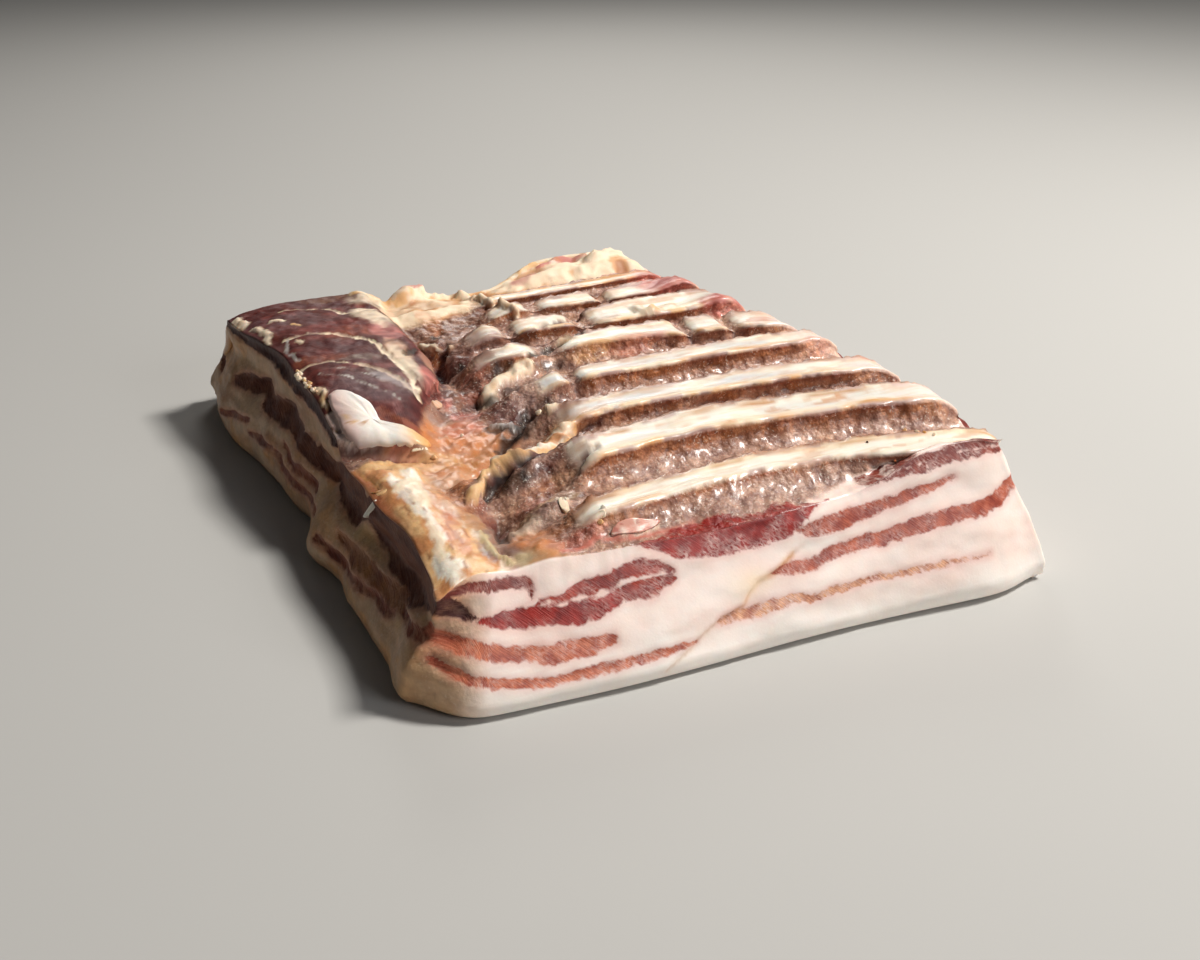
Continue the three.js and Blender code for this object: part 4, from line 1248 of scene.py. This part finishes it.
def flake(rim, middle, thickness, lay):
    """Points, quads and triangles of a closed flake: a ring sunk below its rim, then rings up and in to a low
    crown, each laid on what is under it by `lay`."""
    normal = np.cross(rim - middle, np.roll(rim, -1, 0) - middle).sum(0)
    normal /= np.linalg.norm(normal)
    if normal @ TOWARDS < 0:
        rim, normal = rim[::-1], -normal
    uneven = 1 + 0.03 * noise(*rim.T, 1.5, 141)
    rings = []
    for share, rise in ((0.96, -SINK / thickness), *FLAKE_RINGS):
        place = lay(middle + (rim - middle) * (share * uneven)[:, None])
        bumps = 0.3 * thickness * noise(*place.T, 3.5, 142) * (rise > 0.5)
        rings.append(place + normal * (rise * thickness + bumps)[:, None])
    count = len(rim)
    crown = rings[-1].mean(0)
    points = np.concatenate(rings + [[rings[0].mean(0), crown]])
    levels = np.arange(len(rings) * count).reshape(-1, count)
    after = np.roll(levels, -1, 1)
    quads = np.stack([levels[:-1], after[:-1], after[1:], levels[1:]], -1).reshape(-1, 4)
    low, high = np.full(count, len(points) - 2), np.full(count, len(points) - 1)
    under = np.stack([after[0], levels[0], low], -1)
    over = np.stack([levels[-1], after[-1], high], -1)
    return points, quads, np.concatenate([under, over])


def flake_tint(points, name):
    """A flake's colour. The big one on the flap's end is mauve on the left and golden on the right."""
    tint = np.ones((len(points), 3)) * np.array(linear(name)[:3])
    x, y, z = points.T
    tint = paint(tint, "ivory", 0.5 * smoothstep(noise(x, y, z, 2.5, 143), 0, 0.6))
    if name == "fat_white":
        tint = paint(tint, "blush", 0.5 * (1 - smoothstep(x, 18, 27)))
        tint = paint(tint, "lilac", 0.7 * (1 - smoothstep(x + 0.3 * (y - 118), 17.5, 20)))
        tint = paint(tint, "butter", smoothstep(x, 33, 41))
        tint = paint(tint, "fat_golden", smoothstep(x, 40, 45) * 0.8)
        crack = smoothstep(band(x, y, [(19.5, 122, 0.3), (24, 119, 0.5), (31, 116.5, 0.3)]), -0.4, 0.2)
        tint = paint(tint, "stain", 0.8 * crack)
        streak = smoothstep(band(x, y, [(20, 126, 0.5), (22, 120, 0.5)]), -0.6, 0.3)
        tint = paint(tint, "butter", 0.7 * streak)
    if name == "pale":
        tint = paint(tint, "blood", 0.6 * smoothstep(noise(x, y, z, 1.1, 144), 0.35, 0.6))
    return tint


def settled(places, surface):
    """The places at the top's height under them, averaged over SETTLE mm round each, so without steps."""
    away = np.hypot(places[:, :1] - surface[None, :, 0], places[:, 1:2] - surface[None, :, 1])
    weight = np.exp(-((away / SETTLE) ** 2))
    height = LIFT + weight @ surface[:, 2] / weight.sum(1)
    return np.concatenate([places[:, :2], height[:, None]], -1)


def all_flakes(surface):
    """Every flake and crumb as (rim, middle, thickness, colour, what lays it on the slab)."""

    def on_top(places):
        return settled(places, surface)

    def as_given(places):
        return places

    for outline, thickness, name, lies_on_top in FLAKES:
        rim = refined(outline, 0.7)
        yield rim, rim.mean(0), thickness, name, on_top if lies_on_top else as_given
    crumbs = list(CRUMBS)
    start, stop = np.array(CRUMB_ROW["start"]), np.array(CRUMB_ROW["stop"])
    for k in range(CRUMB_ROW["count"]):
        strewn = CRUMB_ROW["spread"] * np.array([lattice(k, 1, 0, 145), lattice(k, 2, 0, 145)])
        x, y = lerp(start, stop, k / CRUMB_ROW["count"]) + strewn
        crumbs.append((x, y, 0.8 + 0.4 * lattice(k, 3, 0, 145), "cream" if k % 3 else "butter"))
    angles = np.arange(CRUMB_SIDES) / CRUMB_SIDES * 2 * np.pi
    across = np.cross(TOWARDS, (0, 0, 1))
    across /= np.linalg.norm(across)
    up = np.cross(across, TOWARDS / np.linalg.norm(TOWARDS))
    for k, (x, y, half, name) in enumerate(crumbs):
        middle = on_top(np.array([[x, y, 0.0]]))[0]
        reach = half * (1 + 0.3 * lattice(np.arange(CRUMB_SIDES), k, 0, 146))[:, None]
        rim = middle + reach * (np.cos(angles)[:, None] * across + np.sin(angles)[:, None] * up)
        yield rim, middle, 0.7 * half, name, as_given


def build_flakes(material, surface):
    """The flakes and crumbs of fat as one mesh of small closed bodies, in the slab's own finish."""
    points, quads, triangles, tints, first = [], [], [], [], 0
    for rim, middle, thickness, name, lay in all_flakes(surface):
        body, sides, caps = flake(rim, middle, thickness, lay)
        points.append(body)
        quads.append(sides + first)
        triangles.append(caps + first)
        tints.append(flake_tint(body, name))
        first += len(body)
    look = blank_look((first,))
    look["tint"] = np.concatenate(tints)
    look["coarse"] = look["coarse"] + 0.05
    look["wet"] = look["wet"] + 0.35
    points, quads, triangles = (np.concatenate(parts) for parts in (points, quads, triangles))
    look["run"] = points
    mesh = new_mesh("fat_flakes", points, quads, triangles, look)
    mesh.materials.append(material)
    return new_piece("fat_flakes", mesh)


# ---- The pieces ----
def new_mesh(name, points, quads, triangles, looks):
    """A smooth mesh of points in the slab's frame, with the attributes that the materials read."""
    mesh = bpy.data.meshes.new(name)
    mesh.vertices.add(len(points))
    mesh.vertices.foreach_set("co", ((points - belly_middle()) * MM).astype(np.float32).ravel())
    corners = np.concatenate([quads.ravel(), triangles.ravel()])
    sizes = np.concatenate([np.full(len(quads), 4), np.full(len(triangles), 3)])
    mesh.loops.add(len(corners))
    mesh.loops.foreach_set("vertex_index", corners.astype(np.int32))
    mesh.polygons.add(len(sizes))
    mesh.polygons.foreach_set("loop_start", np.concatenate([[0], np.cumsum(sizes)[:-1]]).astype(np.int32))
    mesh.update(calc_edges=True)
    mesh.validate()
    mesh.shade_smooth()
    for attribute, values in looks.items():
        add_attribute(mesh, attribute, values)
    return mesh


def new_piece(name, mesh):
    piece = bpy.data.objects.new(name, mesh)
    bpy.context.scene.collection.objects.link(piece)
    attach(piece, "root")
    return piece


def build_belly():
    """The slab, rind and all, and the flakes that lie on it."""
    points, quads, fan, rind_quad, looks = closed_surface()
    mesh = new_mesh("cured_belly", points, quads, fan, looks)
    finish = (np.arange(len(quads) + len(fan)) >= rind_quad).astype(np.int32)
    mesh.polygons.foreach_set("material_index", finish)
    pork = cured_pork()
    mesh.materials.append(pork)
    mesh.materials.append(cured_rind())
    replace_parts(new_piece("cured_belly", mesh), "pork_belly")
    build_flakes(pork, points[: (COLUMNS + 1) * ROWS])


def belly_middle():
    """The slab's x and y that lie over the part's origin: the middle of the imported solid's box."""
    low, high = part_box("pork_belly")
    plain = plain_top()
    side = Side(plain)
    every = np.concatenate([plain.reshape(-1, 3), side.points.reshape(-1, 3)])
    box_middle = (every.min(0) + every.max(0)) / 2
    shift = [(low[i] + high[i]) / 2 / MM for i in (0, 1)]
    return np.array([box_middle[0] - shift[0], box_middle[1] - shift[1], 0])


def add_attribute(mesh, name, values):
    """A number, a colour or a vector for each vertex."""
    if name.endswith("tint"):
        values = np.concatenate([values, np.ones((len(values), 1))], -1)
        attribute = mesh.attributes.new(name, "FLOAT_COLOR", "POINT")
        attribute.data.foreach_set("color", values.astype(np.float32).ravel())
    elif values.ndim == 2:
        attribute = mesh.attributes.new(name, "FLOAT_VECTOR", "POINT")
        attribute.data.foreach_set("vector", values.astype(np.float32).ravel())
    else:
        attribute = mesh.attributes.new(name, "FLOAT", "POINT")
        attribute.data.foreach_set("value", values.astype(np.float32).ravel())


# ---- Materials ----
TIMES = dict(operation="MULTIPLY")
TIMES_PLUS = dict(operation="MULTIPLY_ADD")
LAID_OVER = dict(data_type="RGBA")
SHADED = dict(data_type="RGBA", blend_type="MULTIPLY")
FACTOR, UNDER, OVER, MIXED = 0, 6, 7, 2  # a colour Mix node's sockets, by number


def add(tree, kind, settings, inputs, output=0):
    """Adds a node: `settings` are its properties, `inputs` its sockets' values or what is linked to them."""
    node = tree.nodes.new("ShaderNode" + kind)
    for name, value in settings.items():
        setattr(node, name, value)
    for name, value in inputs.items():
        if isinstance(value, bpy.types.NodeSocket):
            tree.links.new(value, node.inputs[name])
        else:
            node.inputs[name].default_value = value
    return node.outputs[output]


def new_material(name):
    material = bpy.data.materials.new(name)
    material.use_nodes = True
    shader = material.node_tree.nodes["Principled BSDF"]
    return material, material.node_tree, shader


PER_MM = 1 / MM  # a noise's scale for features 1 mm apart, on Object coordinates in metres


def cured_pork():
    """Cured belly: firm fat, moist lean and dried crust in one surface, cut with a knife.

    To the eye: waxy translucent fat, lean with fine fibres and a pale net of marbling, and wet grainy walls
    where the ribs were. The vertex attributes say which is where, and the nodes add what is finer than the
    mesh.
    """
    material, tree, shader = new_material("cured_pork")
    place = add(tree, "TexCoord", {}, {}, "Object")
    run = add(tree, "Attribute", dict(attribute_name="run"), {}, "Vector")
    coarse = add(tree, "Attribute", dict(attribute_name="coarse"), {}, "Fac")
    wet = add(tree, "Attribute", dict(attribute_name="wet"), {}, "Fac")
    lean, lean_shade, fibres = lean_finish(tree, run)
    fine = add(tree, "TexNoise", {}, {"Vector": place, "Scale": PER_MM / 0.9, "Detail": 4.0}, "Fac")
    fat_shade = fat_finish(tree, place, run)
    fat_shade, grain = grainy_finish(tree, place, fine, coarse, fat_shade)
    colour = add(tree, "Mix", LAID_OVER, {FACTOR: lean, UNDER: fat_shade, OVER: lean_shade}, MIXED)
    tree.links.new(colour, shader.inputs["Base Color"])

    # Height in mm: grains, fibres and the fine tooth of cut fat.
    grain_height = add(tree, "Math", TIMES, {0: grain, 1: -0.5})
    height = add(tree, "Math", TIMES, {0: grain_height, 1: coarse})
    fibre_height = add(tree, "Math", TIMES_PLUS, {0: lean, 1: 0.18, 2: 0.01})
    height = add(tree, "Math", TIMES_PLUS, {0: fibres, 1: fibre_height, 2: height})
    tooth = add(tree, "Math", TIMES_PLUS, {0: coarse, 1: 0.28, 2: 0.04})
    height = add(tree, "Math", TIMES_PLUS, {0: fine, 1: tooth, 2: height})
    height = add(tree, "Math", TIMES_PLUS, {0: lean, 1: -0.12, 2: height})
    bump = add(tree, "Bump", {}, {"Height": height, "Distance": MM, "Strength": 1.0})
    tree.links.new(bump, shader.inputs["Normal"])

    # Moister places are glossier, and the gloss is uneven.
    dull = add(tree, "MapRange", {}, {"Value": wet, "To Min": 0.48, "To Max": 0.24})
    spread = add(tree, "TexNoise", {}, {"Vector": place, "Scale": PER_MM / 4}, "Fac")
    tree.links.new(add(tree, "Math", TIMES_PLUS, {0: spread, 1: 0.16, 2: dull}), shader.inputs["Roughness"])
    tree.links.new(add(tree, "Math", TIMES, {0: wet, 1: 0.5}), shader.inputs["Coat Weight"])
    shader.inputs["Coat Roughness"].default_value = 0.17
    shader.inputs["IOR"].default_value = 1.4
    shader.inputs["Subsurface Weight"].default_value = 0.2
    shader.inputs["Subsurface Radius"].default_value = (1.0, 0.45, 0.3)
    shader.inputs["Subsurface Scale"].default_value = 0.0009
    return material


def lean_finish(tree, run):
    """How much a place is lean, the lean's colour, and its fibres, all in mm along the cut.

    The painted depth is made ragged by slanting fibres and by scallops, and a broken pale net cuts it.
    """
    depth = add(tree, "Attribute", dict(attribute_name="lean"), {}, "Fac")
    marbling = add(tree, "Attribute", dict(attribute_name="marbling"), {}, "Fac")
    lean_tint = add(tree, "Attribute", dict(attribute_name="lean_tint"), {}, "Color")
    slanted = add(tree, "Mapping", {}, {"Vector": run, "Rotation": (0, 0, math.radians(FIBRE_SLANT))})
    feathers = add(tree, "Mapping", {}, {"Vector": slanted, "Scale": (1 / 2.2, 1 / 1.1, 1.0)})
    feathers = add(tree, "TexNoise", {}, {"Vector": feathers, "Scale": 1.0}, "Fac")
    feathers = add(tree, "Math", dict(operation="SUBTRACT"), {0: feathers, 1: 0.5})
    feathers = add(tree, "Math", TIMES, {0: feathers, 1: marbling})
    scallops = add(tree, "TexNoise", {}, {"Vector": run, "Scale": 1 / 2.8, "Detail": 2.0}, "Fac")
    ragged = add(tree, "Math", TIMES_PLUS, {0: feathers, 1: 1.8, 2: depth})
    ragged = add(tree, "Math", TIMES_PLUS, {0: scallops, 1: 2.4, 2: ragged})
    inside = add(tree, "MapRange", {}, {"Value": ragged, "From Min": 0.8, "From Max": 1.5})

    # The marbling: flecks of fat drawn out along the fibres, thick at the edge of the lean and, where a
    # slower noise lets them show, inside it; and there a fainter net of cells.
    showing = add(tree, "TexNoise", {}, {"Vector": run, "Scale": 1 / 7, "Detail": 1.0}, "Fac")
    showing = add(tree, "MapRange", {}, {"Value": showing, "From Min": 0.4, "From Max": 0.6})
    flecks = add(tree, "Mapping", {}, {"Vector": slanted, "Scale": (1 / 1.9, 1 / 0.9, 1.0)})
    flecks = add(tree, "TexNoise", {}, {"Vector": flecks, "Scale": 1.0, "Detail": 2.0}, "Fac")
    flecks = add(tree, "MapRange", {}, {"Value": flecks, "From Min": 0.5, "From Max": 0.64})
    fringe = add(tree, "MapRange", {},
                 {"Value": ragged, "From Min": 1.2, "From Max": 2.8, "To Min": 0.55, "To Max": 0.0})
    fringe = add(tree, "Math", TIMES_PLUS, {0: showing, 1: 1.1, 2: fringe})
    fringe = add(tree, "Math", TIMES, {0: fringe, 1: marbling})
    flecks = add(tree, "Math", TIMES, {0: flecks, 1: fringe})
    wander = add(tree, "TexNoise", {}, {"Vector": run, "Scale": 1 / 1.6, "Detail": 2.0}, "Color")
    cells = add(tree, "Mapping", {}, {"Vector": slanted, "Scale": (1 / 2.5, 1 / 1.1, 1.0)})
    cells = add(tree, "VectorMath", TIMES_PLUS, {0: wander, 1: (0.9, 1.2, 0), 2: cells})
    cells = add(tree, "TexVoronoi", dict(feature="DISTANCE_TO_EDGE"),
                {"Vector": cells, "Scale": 1.0}, "Distance")
    net = add(tree, "MapRange", {},
              {"Value": cells, "From Min": 0.0, "From Max": 0.22, "To Min": 0.75, "To Max": 0.0})
    net = add(tree, "Math", TIMES, {0: net, 1: showing})
    net = add(tree, "Math", TIMES, {0: net, 1: marbling})
    fat = add(tree, "Math", dict(operation="MAXIMUM", use_clamp=True), {0: net, 1: flecks})
    solid = add(tree, "Math", TIMES_PLUS, {0: fat, 1: -0.85, 2: 1.0})
    lean = add(tree, "Math", TIMES, {0: inside, 1: solid})

    # The colour: darker and paler bundles, and fine fibres along the slant.
    fibres = add(tree, "Mapping", {}, {"Vector": slanted, "Scale": (1 / 5.0, 1 / 0.4, 1.0)})
    fibres = add(tree, "TexNoise", {}, {"Vector": fibres, "Scale": 1.0, "Detail": 3.0}, "Fac")
    streaks = add(tree, "MapRange", {}, {"Value": fibres, "From Min": 0.3, "From Max": 0.7})
    streaks = add(tree, "Mix", LAID_OVER,
                  {FACTOR: streaks, UNDER: (0.78, 0.68, 0.64, 1), OVER: (1.15, 1.2, 1.1, 1)}, MIXED)
    bunches = add(tree, "TexNoise", {}, {"Vector": run, "Scale": 1 / 4.5, "Detail": 2.0}, "Fac")
    bunches = add(tree, "MapRange", {}, {"Value": bunches, "From Min": 0.36, "From Max": 0.66})
    bunches = add(tree, "Mix", LAID_OVER,
                  {FACTOR: bunches, UNDER: (0.66, 0.46, 0.4, 1), OVER: (1.2, 1.3, 1.05, 1)}, MIXED)
    shade = add(tree, "Mix", SHADED, {FACTOR: 1.0, UNDER: lean_tint, OVER: streaks}, MIXED)
    shade = add(tree, "Mix", SHADED, {FACTOR: 1.0, UNDER: shade, OVER: bunches}, MIXED)
    return lean, shade, fibres


def fat_finish(tree, place, run):
    """The fat's colour: the painted one, faintly flushed, with lengthwise streaks on the ridges' strips."""
    tint = add(tree, "Attribute", dict(attribute_name="tint"), {}, "Color")
    strip = add(tree, "Attribute", dict(attribute_name="strip"), {}, "Fac")
    flush = add(tree, "TexNoise", {}, {"Vector": place, "Scale": PER_MM / 9, "Detail": 3.0}, "Fac")
    flush = add(tree, "MapRange", {}, {"Value": flush, "From Min": 0.4, "From Max": 0.65, "To Max": 0.3})
    shade = add(tree, "Mix", SHADED, {FACTOR: flush, UNDER: tint, OVER: (1.0, 0.86, 0.8, 1)}, MIXED)
    tan = add(tree, "Mapping", {}, {"Vector": run, "Scale": (1 / 14, 1 / 1.7, 1 / 1.7)})
    tan = add(tree, "TexNoise", {}, {"Vector": tan, "Scale": 1.0, "Detail": 6.0}, "Fac")
    tan = add(tree, "MapRange", {}, {"Value": tan, "From Min": 0.5, "From Max": 0.62, "To Max": 0.42})
    tan = add(tree, "Math", TIMES, {0: tan, 1: strip})
    return add(tree, "Mix", SHADED, {FACTOR: tan, UNDER: shade, OVER: (0.9, 0.72, 0.5, 1)}, MIXED)


def grainy_finish(tree, place, fine, coarse, shade):
    """The grainy walls: lumps, painted glints of light and painted shade in dark creases over the painted
    colour; and the grains.
    """
    warp = add(tree, "TexNoise", {}, {"Vector": place, "Scale": PER_MM / 2.2}, "Color")
    warped_place = add(tree, "VectorMath", TIMES_PLUS,
                       {0: warp, 1: (0.0016, 0.0016, 0.0016), 2: place})
    grain = add(tree, "TexVoronoi", dict(feature="SMOOTH_F1"),
                {"Vector": warped_place, "Scale": PER_MM / 2.1, "Smoothness": 0.5}, "Distance")
    # Painted shade: darker in the creases between the grains.
    crease = add(tree, "MapRange", {}, {"Value": grain, "From Min": 0.4, "From Max": 0.8, "To Max": 0.3})
    crease = add(tree, "Math", TIMES, {0: crease, 1: coarse})
    shade = add(tree, "Mix", SHADED, {FACTOR: crease, UNDER: shade, OVER: (0.45, 0.34, 0.32, 1)}, MIXED)
    lumps = add(tree, "TexNoise", {}, {"Vector": place, "Scale": PER_MM / 3.4, "Detail": 2.0}, "Fac")
    lumps = add(tree, "MapRange", {}, {"Value": lumps, "From Min": 0.35, "From Max": 0.62})
    lumps = add(tree, "Mix", LAID_OVER,
                {FACTOR: lumps, UNDER: (0.66, 0.55, 0.52, 1), OVER: (1.16, 1.06, 0.94, 1)}, MIXED)
    shade = add(tree, "Mix", SHADED, {FACTOR: coarse, UNDER: shade, OVER: lumps}, MIXED)
    fleck = add(tree, "MapRange", {}, {"Value": fine, "From Min": 0.3, "From Max": 0.7})
    fleck = add(tree, "Mix", LAID_OVER,
                {FACTOR: fleck, UNDER: (0.86, 0.82, 0.8, 1), OVER: (1.1, 1.12, 1.12, 1)}, MIXED)
    shade = add(tree, "Mix", SHADED, {FACTOR: coarse, UNDER: shade, OVER: fleck}, MIXED)
    # Painted glints: highlights about half a millimetre across, in drifts.
    glints = add(tree, "TexNoise", {}, {"Vector": place, "Scale": PER_MM / 0.9, "Detail": 1.0}, "Fac")
    glints = add(tree, "MapRange", {}, {"Value": glints, "From Min": 0.62, "From Max": 0.7, "To Max": 0.4})
    drifts = add(tree, "TexNoise", {}, {"Vector": place, "Scale": PER_MM / 6, "Detail": 1.0}, "Fac")
    drifts = add(tree, "MapRange", {}, {"Value": drifts, "From Min": 0.38, "From Max": 0.58})
    glints = add(tree, "Math", TIMES, {0: glints, 1: drifts})
    glints = add(tree, "Math", TIMES, {0: glints, 1: coarse})
    shade = add(tree, "Mix", LAID_OVER, {FACTOR: glints, UNDER: shade, OVER: linear("ivory")}, MIXED)
    return shade, grain


def cured_rind():
    """Cured pork skin, scraped and dried: tan and slightly glossy, with pores."""
    material, tree, shader = new_material("cured_rind")
    place = add(tree, "TexCoord", {}, {}, "Object")
    cloud = add(tree, "TexNoise", {}, {"Vector": place, "Scale": PER_MM / 40, "Detail": 4.0}, "Fac")
    pores = add(tree, "TexVoronoi", {}, {"Vector": place, "Scale": PER_MM / 3.0}, "Distance")
    colour = add(tree, "Mix", LAID_OVER,
                 {FACTOR: cloud, UNDER: linear("aged_fat_and_shade"), OVER: linear("rind")}, MIXED)
    dark = add(tree, "MapRange", {},
               {"Value": pores, "From Min": 0.0, "From Max": 0.25, "To Min": 0.4, "To Max": 0.0})
    colour = add(tree, "Mix", LAID_OVER, {FACTOR: dark, UNDER: colour, OVER: linear("stain")}, MIXED)
    tree.links.new(colour, shader.inputs["Base Color"])
    bump = add(tree, "Bump", {}, {"Height": pores, "Distance": 0.3 * MM, "Strength": 1.0})
    tree.links.new(bump, shader.inputs["Normal"])
    shader.inputs["Roughness"].default_value = 0.45
    shader.inputs["IOR"].default_value = 1.45
    return material


def table_top():
    """Matt pale paper under the food: plain, so that nothing draws the eye from it."""
    material, tree, shader = new_material("pale_paper")
    shader.inputs["Base Color"].default_value = linear("paper")
    shader.inputs["Roughness"].default_value = 0.9
    return material


# ---- The floor, the light and the camera ----
FLOOR_HALF = 3.0  # metres
FLOOR_DROP = 0.0003  # metres below the rind, so that the two don't meet


def build_floor():
    corners = [(-1, -1), (1, -1), (1, 1), (-1, 1)]
    mesh = bpy.data.meshes.new("floor")
    places = [(FLOOR_HALF * x, FLOOR_HALF * y, -FLOOR_DROP) for x, y in corners]
    mesh.from_pydata(places, [], [(0, 1, 2, 3)])
    mesh.materials.append(table_top())
    floor = bpy.data.objects.new("floor", mesh)
    bpy.context.scene.collection.objects.link(floor)


# Area lights: name, place and size in metres, power in watts, and colour.
LIGHTS = [
    ("key", (0.85, -0.25, 1.25), 0.3, 27, "key_light"),
    ("rim", (0.5, 1.2, 0.8), 0.4, 4, "key_light"),
    ("front", (0.75, -1.7, 0.8), 0.8, 10.5, "fill_light"),
]
STUDIO_STRENGTH = 0.05  # of the even light from all round


def build_lights():
    for name, place, size, power, colour in LIGHTS:
        light = bpy.data.lights.new(name, "AREA")
        light.size = size
        light.energy = power
        light.color = linear(colour)[:3]
        lamp = bpy.data.objects.new(name, light)
        lamp.location = place
        lamp.rotation_euler = (-Vector(place)).to_track_quat("-Z", "Y").to_euler()
        bpy.context.scene.collection.objects.link(lamp)
    world = bpy.data.worlds.new("studio")
    world.use_nodes = True
    world.node_tree.nodes["Background"].inputs["Color"].default_value = linear("studio")
    world.node_tree.nodes["Background"].inputs["Strength"].default_value = STUDIO_STRENGTH
    bpy.context.scene.world = world


# The photograph's view of the slab, in its own frame: from the left of the front, looking down.
TURN = math.radians(24.3)
DOWN = math.radians(24.1)
AWAY = 590
AIM = (121, 130, 0)
LENS = 45
SENSOR = 36


def build_camera(middle):
    """Looks along `forward` at the point AIM from AWAY mm before it; `right` and `up` are the picture's."""
    cos, sin = math.cos, math.sin
    forward = Vector((sin(TURN) * cos(DOWN), cos(TURN) * cos(DOWN), -sin(DOWN)))
    right = Vector((cos(TURN), -sin(TURN), 0))
    up = right.cross(forward)
    aim = Vector(AIM) - Vector(middle)
    camera = bpy.data.cameras.new("camera")
    camera.lens = LENS
    camera.sensor_width = SENSOR
    camera.sensor_fit = "HORIZONTAL"
    camera.clip_start = 0.05
    holder = bpy.data.objects.new("camera", camera)
    turn = Matrix((right, up, -forward)).transposed()
    holder.matrix_world = Matrix.Translation((aim - forward * AWAY) * MM) @ turn.to_4x4()
    bpy.context.scene.collection.objects.link(holder)
    bpy.context.scene.camera = holder


bpy.context.scene.view_settings.view_transform = "Standard"
build_belly()
build_floor()
build_lights()
build_camera(belly_middle())
